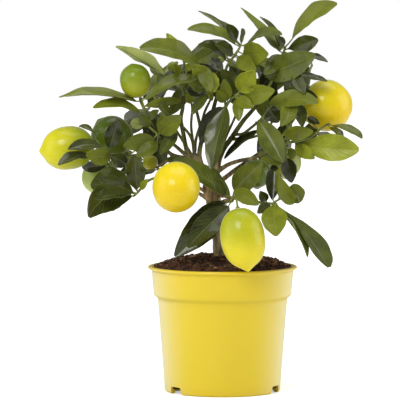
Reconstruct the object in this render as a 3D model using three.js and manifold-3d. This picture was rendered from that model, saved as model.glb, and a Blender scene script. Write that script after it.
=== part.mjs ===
// A limequat tree in a nursery pot. Millimetres, +Z up, -Y to the front.
// The origin is the centre of the pot's underside.
//
// Places in the crown are set out as [x, z] on the upright plane y = 0, as seen from the standpoint
// EYE, and carried to their own depth y along that line of sight.
import * as THREE from "three";
import { mergeVertices } from "three/addons/utils/BufferGeometryUtils.js";
import Module from "manifold-3d";

const wasm = await Module();
wasm.setup();

// ---- driving dimensions ----
const EYE = new THREE.Vector3(-18.1, -2800, 345);
const GAP = 0.35; // between a piece and the next one that it touches
const SLIVER = 0.05; // the finest step that a fused surface keeps

const POT = {
  lipRadius: 60,
  height: 101,
  lipHeight: 2.6,
  collarTop: 57,
  collarBottom: 55.4,
  stepTop: 78,
  stepBottom: 74.8,
  bodyTop: 52.2,
  bodyBottom: 46.4,
  foot: 1.6, // radius of the rounded corner at the foot
  wall: 1.5,
  recess: 1.8, // height of the ring between the foot and the central pad
  padRadius: 20,
  sides: 32,
};
const CALYX = { radius: 2.4, height: 1.1 };
const NOTCH = { width: 15, height: 6, depth: 7, angles: [-54, 66, 186] };
const SOIL = { rim: 100.4, mound: 9.5, crown: 2.8, rings: 6, sides: 24, relief: 1.7, seed: 11 };
const TRUNK_HOLE = { bottom: 88, radius: 9.4 };

const LEAF = {
  narrowest: 0.4, // width over length of a blade that is seen nearly edge-on
  widest: 25,
  thickness: 1.4, // at the midrib
  fold: 0.3, // rise of the edges over the midrib, in half widths
  petiole: 0.55, // radius
  shortPetiole: 3.5, // the least length between twig and blade
  stations: [0.1, 0.3, 0.54, 0.79],
  fewStations: [0.15, 0.45, 0.76], // on a blade under the width below
  small: 14,
};
// Depth shifts of a tip that are tried in turn until the leaf hangs clear.
const SWINGS = [0, -5, 5, -10, 10, -15, 15, -21, 21, -28, 28, -36, 36];

// ---- small helpers ----
const vec = (x, y, z) => new THREE.Vector3(x, y, z);
const onSight = ([x, z], y) =>
  vec(x, 0, z).sub(EYE).multiplyScalar((y - EYE.y) / -EYE.y).add(EYE);
const place = ([x, z, y]) => onSight([x, z], y);
const mix = (a, b, t) => a + (b - a) * t;

function random(seed) {
  let a = seed;
  return () => {
    a = (a + 0x6d2b79f5) | 0;
    let t = Math.imul(a ^ (a >>> 15), 1 | a);
    t = (t + Math.imul(t ^ (t >>> 7), 61 | t)) ^ t;
    return ((t ^ (t >>> 14)) >>> 0) / 4294967296;
  };
}

function solid(points, triangles) {
  const vertProperties = new Float32Array(points.flatMap((p) => p.toArray()));
  const build = (list) =>
    new wasm.Manifold(
      new wasm.Mesh({ numProp: 3, vertProperties, triVerts: new Uint32Array(list.flat()) }),
    );
  const made = build(triangles);
  return made.volume() > 0 ? made : build(triangles.map(([a, b, c]) => [a, c, b]));
}

function solidOf(geometry) {
  const bare = new THREE.BufferGeometry().setAttribute("position", geometry.getAttribute("position"));
  if (geometry.index) bare.setIndex(geometry.index);
  const merged = mergeVertices(bare, 1e-3);
  return new wasm.Manifold(
    new wasm.Mesh({
      numProp: 3,
      vertProperties: merged.attributes.position.array,
      triVerts: new Uint32Array(merged.index.array),
    }),
  );
}

function geometryOf(manifold) {
  const mesh = manifold.getMesh();
  const geometry = new THREE.BufferGeometry();
  geometry.setAttribute("position", new THREE.BufferAttribute(mesh.vertProperties, 3));
  geometry.setIndex(new THREE.BufferAttribute(mesh.triVerts, 1));
  geometry.computeVertexNormals();
  return geometry;
}

// A closed skin over rings of equally many points. An end ring of one point is a tip.
function skin(rings) {
  const points = rings.flat();
  const triangles = [];
  const start = rings.map((_, i) => rings.slice(0, i).reduce((n, ring) => n + ring.length, 0));
  for (let i = 0; i + 1 < rings.length; i++) {
    const count = Math.max(rings[i].length, rings[i + 1].length);
    for (let k = 0; k < count; k++) {
      const next = (k + 1) % count;
      const [a, b] = [start[i], start[i + 1]];
      if (rings[i + 1].length === 1) triangles.push([a + k, a + next, b]);
      else if (rings[i].length === 1) triangles.push([a, b + next, b + k]);
      else if (k % 2) triangles.push([a + k, a + next, b + next], [a + k, b + next, b + k]);
      else triangles.push([a + k, a + next, b + k], [a + next, b + next, b + k]);
    }
  }
  const cap = (first, count, turned) => {
    for (let k = 1; k + 1 < count; k++)
      triangles.push(turned ? [first, first + k + 1, first + k] : [first, first + k, first + k + 1]);
  };
  cap(start[0], rings[0].length, true);
  cap(start.at(-1), rings.at(-1).length, false);
  return solid(points, triangles);
}

// A tapering round tube along a smooth line of [point, radius] pairs, with an optional bark relief.
function limb(stations, sides, steps, relief = () => 1) {
  const curve = new THREE.CatmullRomCurve3(stations.map((s) => s.point), false, "centripetal");
  const lengths = [0];
  for (let i = 1; i < stations.length; i++)
    lengths.push(lengths[i - 1] + stations[i].point.distanceTo(stations[i - 1].point));
  const radiusAt = (t) => {
    const s = t * lengths.at(-1);
    const i = Math.max(1, lengths.findIndex((l) => l >= s - 1e-6));
    return mix(stations[i - 1].radius, stations[i].radius, (s - lengths[i - 1]) / (lengths[i] - lengths[i - 1]));
  };
  const frames = curve.computeFrenetFrames(steps, false);
  const rings = [];
  for (let i = 0; i <= steps; i++) {
    const t = i / steps;
    const centre = curve.getPointAt(t);
    const ring = [];
    for (let k = 0; k < sides; k++) {
      const angle = (2 * Math.PI * k) / sides;
      const r = radiusAt(t) * relief(t, angle);
      ring.push(
        centre
          .clone()
          .addScaledVector(frames.normals[i], r * Math.cos(angle))
          .addScaledVector(frames.binormals[i], r * Math.sin(angle)),
      );
    }
    rings.push(ring);
  }
  return skin(rings);
}

const union = (solids) => solids.reduce((whole, next) => whole.add(next));

function clearOf(piece, others, gap = GAP) {
  const box = piece.boundingBox();
  return others.every((other) => {
    const b = other.boundingBox();
    for (let i = 0; i < 3; i++)
      if (box.min[i] > b.max[i] + gap || box.max[i] < b.min[i] - gap) return true;
    return piece.minGap(other, gap) >= gap;
  });
}

// ---- pot ----
function potProfile() {
  const p = POT;
  const wallAt = (z) => {
    if (z >= p.stepTop) return mix(p.collarBottom, p.collarTop, (z - p.stepTop) / (p.height - p.stepTop));
    return mix(p.bodyBottom, p.bodyTop, z / p.stepBottom);
  };
  const outer = [
    [0, 0],
    [p.padRadius, 0],
    [p.padRadius + 1, p.recess],
    [p.bodyBottom - 4.5, p.recess],
    [p.bodyBottom - 3.5, 0],
    [p.bodyBottom - p.foot, 0],
    [p.bodyBottom - p.foot * 0.3, p.foot * 0.3],
    [p.bodyBottom + 0.1, p.foot],
    [p.bodyTop, p.stepBottom],
    [p.bodyTop + 0.9, p.stepBottom + 1.1],
    [p.collarBottom, p.stepTop],
    [p.collarTop, p.height - p.lipHeight - 1.2],
    [p.lipRadius - 1.2, p.height - p.lipHeight],
    [p.lipRadius, p.height - p.lipHeight * 0.62],
    [p.lipRadius, p.height - p.lipHeight * 0.3],
    [p.lipRadius - 0.8, p.height],
    [p.collarTop - 0.6, p.height],
  ];
  const inner = [
    [p.collarTop - p.wall, p.height - 2],
    [p.collarBottom - p.wall, p.stepTop + 0.6],
    [p.bodyTop - p.wall, p.stepBottom - 0.6],
    [wallAt(p.recess + 2.6) - p.wall, p.recess + 2.6],
    [p.bodyBottom - p.wall - 1, p.recess + p.wall],
    [0, p.recess + p.wall],
  ];
  return { outer, inner };
}

function revolve(profile, sides) {
  return solidOf(new THREE.LatheGeometry(profile.map(([r, z]) => new THREE.Vector2(r, z)), sides).rotateX(Math.PI / 2));
}

function pot() {
  const { outer, inner } = potProfile();
  const shell = revolve([...outer, ...inner], POT.sides);
  const notches = NOTCH.angles.map((degrees) => {
    const half = NOTCH.width / 2;
    const shape = new THREE.Shape([
      new THREE.Vector2(-half, -1),
      new THREE.Vector2(half, -1),
      new THREE.Vector2(half - 1.5, NOTCH.height),
      new THREE.Vector2(1.5 - half, NOTCH.height),
    ]);
    const wedge = new THREE.ExtrudeGeometry(shape, { depth: NOTCH.depth, bevelEnabled: false });
    wedge.rotateX(Math.PI / 2).translate(0, 5 - POT.bodyBottom, 0);
    wedge.rotateZ((degrees * Math.PI) / 180);
    return solidOf(wedge);
  });
  return shell.subtract(union(notches));
}

// ---- soil ----
const moundAt = (r) => SOIL.rim + SOIL.mound * (1 - (r / POT.collarTop) ** SOIL.crown);

function soil() {
  const { inner } = potProfile();
  const draw = random(SOIL.seed);
  const rings = [];
  const wall = [...inner].reverse().slice(1);
  const inset = ([r, z], i) => [r - 2 * GAP, i === 0 ? z + GAP : z];
  const floor = POT.recess + POT.wall + GAP;
  const around = (r, z) => {
    const ring = [];
    for (let k = 0; k < SOIL.sides; k++) {
      const angle = (2 * Math.PI * k) / SOIL.sides;
      ring.push(vec(r * Math.cos(angle), r * Math.sin(angle), z));
    }
    return ring;
  };
  rings.push([vec(0, 0, floor)]);
  wall.forEach((point, i) => {
    const [r, z] = inset(point, i);
    rings.push(around(r, Math.min(z, SOIL.rim - 1)));
  });
  for (let j = 0; j < SOIL.rings; j++) {
    const r = (POT.collarTop - POT.wall - GAP - 1.2) * (1 - j / SOIL.rings);
    rings.push(
      around(r, moundAt(r)).map((p) => {
        const turn = Math.atan2(p.y, p.x);
        const far = r * (1 + (j ? 0.05 * (draw() - 0.5) : 0));
        return vec(far * Math.cos(turn), far * Math.sin(turn), p.z + SOIL.relief * (draw() - 0.5) * (j ? 2 : 1));
      }),
    );
  }
  rings.push([vec(0, 0, moundAt(0))]);
  const hole = new THREE.CylinderGeometry(TRUNK_HOLE.radius, TRUNK_HOLE.radius, 40, 20);
  hole.rotateX(Math.PI / 2).translate(0, 0, TRUNK_HOLE.bottom + 20);
  return skin(rings).subtract(solidOf(hole));
}

// ---- trunk and branches ----
// Each line is a list of [x, z, y, radius].
const TRUNK = [
  [0, 89, 0, 7.6],
  [0, 100, 0, 7.4],
  [-0.5, 106, 0, 6.9],
  [-1.5, 112, 0, 6.1],
  [-2.5, 122, 0, 5.7],
  [-5, 140, 0, 5.7],
  [-7.5, 154, -1, 6.2],
  [-9, 162, -1, 6.9],
  [-10, 170, -1, 5.6],
  [-11, 176, -1, 4.2],
];
const BRANCHES = {
  left_fork: [[-9, 163, -1, 3.91], [-12, 172, -1, 3.74], [-17, 181, -2, 3.06], [-22, 189, -3, 2.24]],
  upper_left: [
    [-20, 186, -3, 1.96], [-27.5, 191, -4, 1.9], [-29.8, 198, -5, 1.85], [-31.6, 208, -6, 1.8],
    [-33.5, 219, -6, 1.7], [-31.9, 228, -7, 1.55], [-31.4, 237.5, -7, 1.4],
  ],
  centre_left: [
    [-22, 188, -3, 1.82], [-23.2, 195, -5, 1.36], [-24.2, 201, -7, 1.24], [-27, 207, -8, 1.18],
    [-33.5, 214.5, -10, 1.05],
  ],
  inner: [[-22, 190, -2, 1.36], [-24.2, 204, 1, 1.18], [-25.2, 214, 3, 1.12], [-24.5, 224, 4, 1.05]],
  centre: [
    [-22, 193, -3, 1.36], [-21.6, 201, -5, 1.24], [-19.2, 210, -7, 1.18], [-16.4, 217, -8, 1.18],
    [-14.6, 224, -10, 1.12], [-10.9, 232, -12, 1.12],
  ],
  leader: [
    [-17, 182, -1, 2.1], [-18.6, 190, 0, 1.96], [-17, 201, 2, 1.82], [-15, 210, 2, 1.82], [-9, 222, 1, 1.75],
    [-6, 232, 0, 1.61], [-4, 240, 0, 1.36], [-3, 245, 0, 1.24],
  ],
  middle: [[-9, 222, 1, 1.24], [-4, 225, -4, 1.18], [0, 227, -8, 1.12]],
  right_fork: [
    [-9, 163, -1, 3.74], [-5.5, 176, -2, 3.15], [-2.6, 187, -3, 2.31], [1.5, 196, -3, 2.17],
    [6.7, 203, -3, 2.1], [12, 211, -3, 1.96], [17, 218, -3, 1.82], [25, 227, -2, 1.61], [31, 234, -1, 1.24],
  ],
  right_front: [[9, 206.5, -3, 1.36], [16, 207, -7, 1.24], [23, 212, -10, 1.18], [29, 217, -12, 1.12]],
  left: [
    [-19, 186, -3, 1.96], [-30, 187.5, -5, 1.82], [-41, 190.5, -7, 1.68], [-47, 197, -8, 1.36],
    [-51, 205, -9, 1.24], [-55, 213, -10, 1.18], [-59, 219, -10, 1.12],
  ],
  left_mid: [[-50, 203, -9, 1.05], [-51, 204.5, -13, 1.05]],
  left_low: [[-39, 189.8, -7, 1.24], [-46, 184, -8, 1.12], [-54, 179.5, -9, 1.05]],
  low_left: [[-8, 157, -1, 2.1], [-18, 163, -7, 1.61], [-32, 169, -12, 1.3], [-40, 171, -14, 1.18]],
  right: [
    [-5, 176, -2, 2.1], [4, 182, -6, 1.75], [14, 185.5, -9, 1.61], [26, 188, -10, 1.36], [38, 193, -11, 1.24],
    [47, 197.5, -11, 1.18],
  ],
  low_right: [[-7, 157, -1, 2.1], [0, 157, -6, 1.36], [9, 155.5, -12, 1.24], [22, 153.5, -19, 1.12]],
  low_front: [[-5, 146, -1, 1.82], [-2, 149, -8, 1.24], [2, 151.5, -14, 1.12]],
  back_left: [[-10, 168, 0, 2.38], [-19, 180, 16, 1.82], [-34, 194, 34, 1.61], [-46, 204, 48, 1.18]],
  back_centre: [[-8, 166, 1, 2.38], [-4, 184, 20, 1.82], [0, 204, 38, 1.36], [2, 220, 48, 1.12]],
  back_right: [[-7, 164, 1, 2.24], [10, 178, 18, 1.75], [30, 192, 34, 1.36], [44, 202, 44, 1.12]],
  back_high: [[-16, 204, 2, 1.68], [-20, 222, 14, 1.3], [-24, 238, 22, 1.05]],
  back_low_left: [[-6, 150, 1, 2.1], [-20, 160, 20, 1.36], [-38, 170, 38, 1.05]],
  mid_left: [[-24, 188, -2, 1.68], [-31, 200, 8, 1.24], [-38, 211, 15, 1.05]],
  mid_right: [[5, 203, 0, 1.68], [18, 203, 8, 1.24], [30, 206, 14, 1.05]],
  mid_centre: [[-3, 190, 0, 1.68], [2, 203, 9, 1.24], [8, 216, 16, 1.05]],
  back_low_right: [[-5, 150, 1, 2.1], [14, 158, 22, 1.36], [26, 166, 38, 1.05]],
};
// Fruit stalks that grow straight from the wood.
const WOOD_STALKS = { fruit_small: [[-48.5, 200, -8, 1.05], [-55, 199, -2, 0.9]] };

const stationOf = ([x, z, y, radius]) => ({ point: onSight([x, z], y), radius });
const bark = (t, angle) => 1 + 0.07 * Math.sin(3 * angle + 9 * t) + 0.05 * Math.sin(5 * angle - 31 * t);

function branch(line) {
  return limb(line.map(stationOf), line[0][3] > 2.4 ? 6 : 5, line.length);
}

// A stalk runs on to its fruit's stem end and meets it square, with a wider calyx.
function stalk(name, line) {
  const [from, to] = [place(FRUITS[name].stem), place(FRUITS[name].tip)];
  const back = from.clone().sub(to).normalize();
  const thick = line.at(-1)[3];
  const calyx = Math.min(CALYX.radius, FRUITS[name].radius * 0.25);
  const at = (away, radius) => ({ point: from.clone().addScaledVector(back, away), radius });
  const end = [at(CALYX.height + 2, thick), at(CALYX.height + GAP, thick * 1.1), at(GAP, calyx)];
  return limb([...line.map(stationOf), ...end], 5, line.length + 3);
}

function wood() {
  return union([
    limb(TRUNK.map(stationOf), 9, 13, bark),
    ...Object.values(BRANCHES).map(branch),
    ...Object.entries(WOOD_STALKS).map(([name, line]) => stalk(name, line)),
  ]);
}

// ---- leafy stems ----
// Twigs are lines of [x, z, y, radius]; the first one goes on from the end of its branch.
// Leaves are [base x, base z, tip x, tip z, seen width, base y, tip y] and, where they need it,
// { arch, bow, full, under }: the rise of the midrib and its bend across the view in shares of its
// length, how near the tip the blade is widest, and whether the underside shows.
const STEMS = {
  low_left: {
    from: "low_left",
    twigs: [[[-50, 172.5, -16, 1.06], [-60, 169, -17, 0.99], [-68, 160, -17, 0.99], [-71, 157, -17, 0.8]]],
    leaves: [
      [-71.8, 159.7, -107.4, 139, 24, -17, -40, { bow: 0.195, arch: 0.02 }],
      [-71.9, 159.7, -101.8, 154.2, 9.5, -21, -48, { full: 1.2 }],
      [-70, 160, -100, 172, 13, -17, -28],
      [-74, 167, -106.2, 164.6, 25, -10, 14, { bow: 0.04 }],
      [-68.5, 159.7, -70.9, 190, 15.5, -19, -34, { full: 1.05 }],
      [-67, 160, -59.5, 170.5, 5.5, -18, -30],
    ],
    stalks: { fruit_front: [[-46, 171.5, -15, 0.86], [-42, 177, -22, 0.8]] },
  },
  left: {
    from: "left_low",
    twigs: [
      [[-64, 177, -9, 1.06], [-75, 175.5, -8, 0.99], [-86, 177, -8, 0.92], [-93, 183, -10, 0.92],
        [-97, 191, -12, 0.86], [-99, 199, -13, 0.8]],
    ],
    leaves: [
      [-97.5, 197.3, -124.2, 194.2, 9.2, -36, -50, { bow: 0.075, arch: 0.02 }],
      [-103, 189, -132.1, 181.7, 7.5, -33, -49, { bow: 0.05, arch: 0.04 }],
      [-88.5, 190.5, -109.7, 190.5, 13.8, -24, -46, { bow: -0.06, full: 1.2 }],
      [-91, 196, -83, 219, 14, -18, -28],
      [-104.5, 209, -115.5, 213, 4, -9, -3, { bow: 0.12, arch: 0.02 }],
      [-93, 180.5, -113, 180, 9.5, -8, 4],
      [-77, 183, -91, 190, 12, -14, -34],
    ],
    stalks: {
      fruit_left: [[-97, 191, -12, 0.8]],
      fruit_left_dark: [[-74, 175.5, -8, 0.8], [-71, 183, -2, 0.8]],
      fruit_left_pale: [[-88, 178.5, -8.5, 0.8], [-90, 184, 5, 0.8]],
    },
  },
  left_mid: {
    from: "left_mid",
    twigs: [[[-52.5, 207, -17, 0.92], [-57, 211, -20, 0.8], [-60, 214, -21, 0.8]]],
    leaves: [
      [-52, 199.5, -69.5, 189, 11, -19, -34],
      [-55, 203, -80, 197, 14, -19, -30],
      [-57, 210, -67, 223, 8, -20, -30],
      [-63, 213, -74, 216, 9, -21, -34, { under: true }],
      [-59, 219, -51, 226, 6, -21, -34],
      [-50, 205, -47, 223, 5, -18, -26],
      [-50, 205, -33, 222, 15, -18, -38],
    ],
  },
  centre_left: {
    from: "centre_left",
    twigs: [[[-37, 217, -12, 0.92], [-40, 218, -14, 0.8]]],
    leaves: [
      [-37, 208, -50, 190, 10, -14, -30],
      [-41, 219, -50, 233, 7, -14, -22],
    ],
  },
  upper_left_low: {
    from: "left",
    twigs: [[[-62, 225, -10.5, 1.06], [-65, 231, -11, 0.99], [-66.3, 235, -12, 0.86]]],
    leaves: [
      [-67.5, 232.3, -132, 236, [7, 2], -13, -24, { bow: 0.07, arch: 0.02 }],
      [-65.7, 224, -104.3, 227.6, 7.7, -13, -28, { bow: 0.11, arch: 0.02 }],
      [-62, 229.5, -32.5, 233.5, 8, -13, -26, { arch: 0.03 }],
      [-63, 236, -52, 246, 6, -10, 6],
    ],
  },
  upper_left: {
    from: "upper_left",
    twigs: [
      [[-34, 246, -9, 1.2], [-40, 250.5, -10, 1.06], [-46, 253, -11, 0.86]],
      [[-33, 244, -8.5, 1.06], [-31, 256, -4, 0.86], [-31, 266, 0, 0.8]],
    ],
    leaves: [
      [-44, 252.2, -86.2, 277.2, 9.5, -11, -20, { under: true, bow: 0.04, arch: 0.02 }],
      [-33, 269, -44.8, 287.7, 8, 1, 14, { arch: 0.02 }],
      [-31, 258, -23, 263, 6, -4, -18],
      [-34, 255, -39, 263, 6, -8, -20],
      [-30, 255, -17, 256, 8, -5, -16],
      [-45, 254, -58, 262, 9, -9, 10],
    ],
    stalks: { fruit_tiny: [[-39.5, 250.3, -10, 0.8]] },
  },
  upper_centre: {
    from: "centre",
    twigs: [[[-10.5, 244, -14, 1.06], [-13, 254, -15, 0.99], [-14.5, 260, -15, 0.86]]],
    leaves: [
      [-11.5, 259.5, -67.2, 275.4, 15, -16, -30, { bow: 0.09, arch: 0.03 }],
      [-17, 262, -9, 240, 12, -18, -32],
      [-16, 252.3, -62.3, 233.8, 9, -17, -34, { bow: 0.07, arch: 0.03 }],
      [-12, 241, -25, 222, 8, -15, -24],
      [-8, 234, -13, 243, 5, -15, -28],
      [-15, 240, -28, 243, 10, -13, 0],
      [-7, 256, -7, 240, 6, -17, -30],
      [-13, 252, -26, 261, 9, -14, 2],
      [-10, 249, -24, 262, 13, -17, -26],
      [-11, 243, -27, 248, 11, -16, -24],
    ],
  },
  inner: {
    from: "inner",
    twigs: [[[-25, 232, 6, 0.92], [-27, 240, 8, 0.8]]],
    leaves: [
      [-24, 226, -28, 241, 8, 4, -4],
      [-26, 240, -36, 252, 10, 10, 24],
      [-26, 236, -12, 250, 9, 9, 20],
    ],
  },
  top: {
    from: "leader",
    twigs: [[[0, 251, 1, 1.19], [4, 262, 1, 1.12], [9, 269, 1, 1.06], [13, 275, 2, 0.92], [14.5, 278, 2, 0.8]]],
    leaves: [
      [10, 279.2, -28.7, 290.3, 8.5, 0, -12, { bow: 0.105, arch: 0.02 }],
      [11, 280.5, -20, 305.5, 3.5, 4, 16, { bow: 0.06, arch: 0.02 }],
      [11, 282, 3, 295, 9, 1, -18],
      [17.2, 278.8, 15.2, 291.4, 3.8, 4, 18, { bow: 0.13 }],
      [18.8, 277.8, 48, 286.2, 6, -2, -26, { bow: -0.13, arch: 0.02 }],
      [2.7, 266, -20, 278.3, 7, -1, -16, { bow: 0.09 }],
      [8, 272, -6, 279, 10, -1, -26],
      [16.5, 270.5, 37, 271, 20, 0, -30],
      [15, 268, 30, 259, 6, -4, -16],
      [12, 268, 27, 257, 13, -3, -24],
      [1, 256, -9, 268, 9, 4, 18],
      [5, 262, 13, 252, 9, 4, 18],
    ],
  },
  upper_right: {
    from: "right_fork",
    twigs: [
      [[35, 241, -1, 1.25], [40, 251, -2, 1.19], [45, 262, -4, 1.06], [49, 273, -5, 0.92], [50.5, 277, -5, 0.8]],
      [[41, 253, -2, 0.92], [48, 256, -9, 0.86], [55, 259, -15, 0.8]],
    ],
    leaves: [
      [45.5, 272.3, 14.2, 308.3, [11, 4], -5, -4, { arch: 0.02, full: 0.6 }],
      [46, 277, 29.3, 301, 4, -3, 8, { bow: 0.08, arch: 0.02 }],
      [56, 284, 92.3, 311.2, 12.5, -7, -24, { bow: -0.11, arch: 0, full: 1.1 }],
      [50, 274, 76.8, 282.5, 13.5, -7, -24, { arch: 0.03, full: 1.25 }],
      [34, 253, 75, 271, 22, -8, -28],
      [62, 268, 84.5, 264.3, 4.5, -4, -10, { bow: -0.06 }],
      [50, 276, 44, 285, 6, -8, -22],
      [53, 259, 53, 240, 10, -16, -30],
      [57, 258, 66, 239, 10, -16, -30],
      [58, 254.5, 84.3, 249, 5, -15, -20, { arch: 0.03 }],
      [58, 261, 66, 257, 6, -14, -26],
      [49, 272, 33, 254, 12, -8, -22],
      [43, 262, 31, 244, 13, -5, -12],
    ],
  },
  right_mid: {
    from: "right_front",
    twigs: [
      [[34, 224, -14, 1.06], [39, 230, -15, 0.99], [46, 235, -16, 0.92], [53, 238, -17, 0.8]],
    ],
    leaves: [
      [37, 231, 77, 232, 13.5, -18, -36, { bow: -0.07, arch: 0.02 }],
      [50.2, 236.8, 46, 213, 13.5, -22, -44, { bow: -0.15, arch: 0.02 }],
      [28.6, 218.2, 48.5, 183.8, 19, -16, -32, { bow: -0.015, arch: 0.02, full: 1 }],
      [61.8, 230.4, 64, 212.3, 10, -18, -34],
      [46, 226, 58, 222, 8, -13, 4],
      [36, 232, 30, 246, 8, -14, -4],
      [35, 230, 45, 216, 13, -10, -4],
      [29.5, 210, 1, 186.5, 6, -6, 4],
    ],
    stalks: { fruit_right: [[50, 237, -16.5, 0.86], [59, 246, -6, 0.8]] },
  },
  centre: {
    from: "middle",
    twigs: [[[3, 229, -11, 0.99], [7, 235, -14, 0.92], [12, 239, -16, 0.8]]],
    leaves: [
      [3, 228, -9, 178, 17, -17, -34],
      [3, 231, 1, 251, 10, -14, -26],
      [-0.9, 228.5, -17.2, 197.4, 11.5, -14, -22, { bow: 0.08, arch: 0.02 }],
      [11, 239, 13, 217, 9, -17, -26],
      [12, 241, 26, 258, 17, -17, -38],
      [17, 236, 42, 242, 16, -18, -42],
      [9, 237, 24, 240, 7, -13, 2],
      [3, 230, -5, 242, 9, -14, -24],
      [9, 236, 25, 228, 10, -16, -30],
    ],
  },
  right: {
    from: "right",
    twigs: [
      [[54, 200, -11, 1.12], [63, 202, -10, 1.06], [72, 205.5, -9, 0.99], [80, 212, -8, 0.92], [85, 215, -8, 0.8]],
      [[50, 198, -11, 0.92], [51, 191, -13, 0.86], [51, 187, -14, 0.8]],
    ],
    leaves: [
      [49.5, 206.3, 73, 208.8, 12, -14, -28],
      [60.6, 198.3, 110.2, 194.2, 22, -13, -32, { full: 1.3 }],
      [59, 197, 74, 187, 11, -13, -30],
      [87, 213.4, 112.4, 203, 6, -9, -16, { bow: -0.09, arch: 0.02, full: 1.3 }],
      [86, 212, 96.3, 201.8, 5.5, -10, -24, { bow: -0.06 }],
      [68, 220, 78, 215, 6, -8, -14],
      [49, 184, 30, 187, 8, -15, -26],
      [51, 190, 60, 192, 9, -12, -30],
      [53.5, 190.5, 55.5, 167.5, 12.5, -13, -5, { full: 0.75 }],
      [76, 207, 92, 196, 9, -5, 14],
    ],
    stalks: {
      fruit_right_hidden: [[53, 199.3, -11, 0.8], [51, 204, 8, 0.8]],
      fruit_centre_dark: [[51, 192, -12.7, 0.8], [40, 194, 2, 0.8]],
    },
  },
  low_right: {
    from: "low_right",
    twigs: [
      [[32, 151.5, -26, 1.06], [38, 151, -30, 0.99], [43, 151, -33, 0.86]],
      [[40, 151, -31, 0.86], [44, 153.5, -30, 0.8], [47, 155, -29, 0.8]],
    ],
    leaves: [
      [40, 154, 41.5, 183, 12.5, -27, -16, { full: 1 }],
      [44, 155, 46.3, 180, 3.5, -28, -12],
      [38, 150, 28, 143, 9, -33, -54],
      [39, 150, 44, 133.5, 13, -32, -50],
      [40.5, 149.8, 43, 124.3, 20.5, -37, -72, { full: 1.15 }],
      [36, 152, 30, 161, 8, -29, -42],
      [57, 150.7, 46, 172.8, 11.5, -35, -46, { bow: -0.07, full: 0.75 }],
      [50.5, 157, 66.3, 160.7, 16, -28, -30, { full: 1.15, arch: 0.03 }],
      [43, 149, 86, 98.6, [11, 15], -36, -50, { bow: -0.05, arch: 0.02, full: 2 }],
      [43.5, 148, 68.2, 107.3, 5, -38, -60, { bow: -0.08, arch: 0.02 }],
    ],
  },
  low_centre: {
    from: "low_front",
    twigs: [[[5, 152.5, -19, 1.06], [8, 153, -25, 0.99], [8, 155.5, -28, 0.8]]],
    stalks: { fruit_low_front: [[8, 153, -25, 0.86], [9.5, 155, -40, 0.86], [11, 154.5, -54, 0.8]] },
    leaves: [
      [6, 158, -46, 187.5, 16, -24, -16],
      [9, 162, 32, 185, 19, -29, -50],
      [9.3, 161, 29.3, 149.8, 12.5, -32, -46, { bow: -0.03 }],
      [2.4, 151.7, -39.1, 107.7, 24.5, -26, -36, { full: 0.75 }],
      [5, 148.8, -28.8, 115, 19.5, -34, -56],
      [2, 158, -8, 172, 8, -26, -36],
    ],
  },
};

// Rear stems bear their leaves by a rule: each next leaf a golden angle further round the twig.
const REAR_STEMS = {
  back_left: { twig: [[-54, 214, 54, 1.06], [-62, 226, 58, 0.92], [-66, 238, 60, 0.8]], leaves: 7, length: 48 },
  back_centre: { twig: [[2, 234, 52, 1.06], [0, 248, 54, 0.92], [-4, 260, 56, 0.8]], leaves: 7, length: 50 },
  back_right: { twig: [[54, 214, 50, 1.06], [63, 228, 54, 0.92], [68, 240, 56, 0.8]], leaves: 7, length: 48 },
  back_high: { twig: [[-27, 250, 27, 0.99], [-30, 260, 31, 0.92], [-32, 268, 34, 0.8]], leaves: 6, length: 38 },
  back_low_left: { twig: [[-50, 178, 48, 0.99], [-61, 186, 54, 0.86], [-70, 194, 58, 0.8]], leaves: 7, length: 44 },
  back_low_right: { twig: [[36, 174, 48, 0.99], [47, 180, 54, 0.86], [56, 187, 58, 0.8]], leaves: 6, length: 44 },
  mid_left: { twig: [[-44, 220, 20, 0.99], [-52, 230, 24, 0.86], [-56, 240, 26, 0.8]], leaves: 6, length: 40 },
  mid_right: { twig: [[38, 214, 18, 0.99], [46, 226, 22, 0.86], [52, 238, 24, 0.8]], leaves: 6, length: 44 },
  mid_centre: { twig: [[12, 226, 20, 0.99], [16, 240, 24, 0.86], [22, 254, 26, 0.8]], leaves: 6, length: 44 },
};
const REAR = { goldenAngle: 2.4, attempts: 40, droop: 0.25, petiole: 5 };
// The outline of the crown that the rear leaves keep inside, and the gaps that they leave open.
const CROWN = [
  [-92, 172], [-98, 184], [-96, 208], [-84, 214], [-70, 222], [-62, 238], [-58, 250], [-44, 256], [-36, 268],
  [-16, 272], [4, 284], [20, 286], [42, 276], [60, 276], [72, 262], [76, 246], [98, 232], [96, 206],
  [73, 195], [58, 182], [58, 160], [44, 158], [36, 166], [14, 172], [0, 184], [-12, 190], [-24, 180],
  [-60, 184], [-64, 172],
];
const GAPS = [
  [-44, -33, 221, 231], [-48, -38, 235, 243], [-30, -26.5, 206, 229], [-26, -20, 205, 221],
  [-21, -15, 218, 229], [-41, -31, 190, 201], [-29, -25, 188, 200], [-20, -12, 184, 192],
  [3, 13, 198, 205], [14, 30, 208, 221], [17, 33, 191, 199], [0, 4, 176, 181], [42, 49, 242, 248],
  [65, 73, 209, 218], [14, 35, 158, 170],
];

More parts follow.
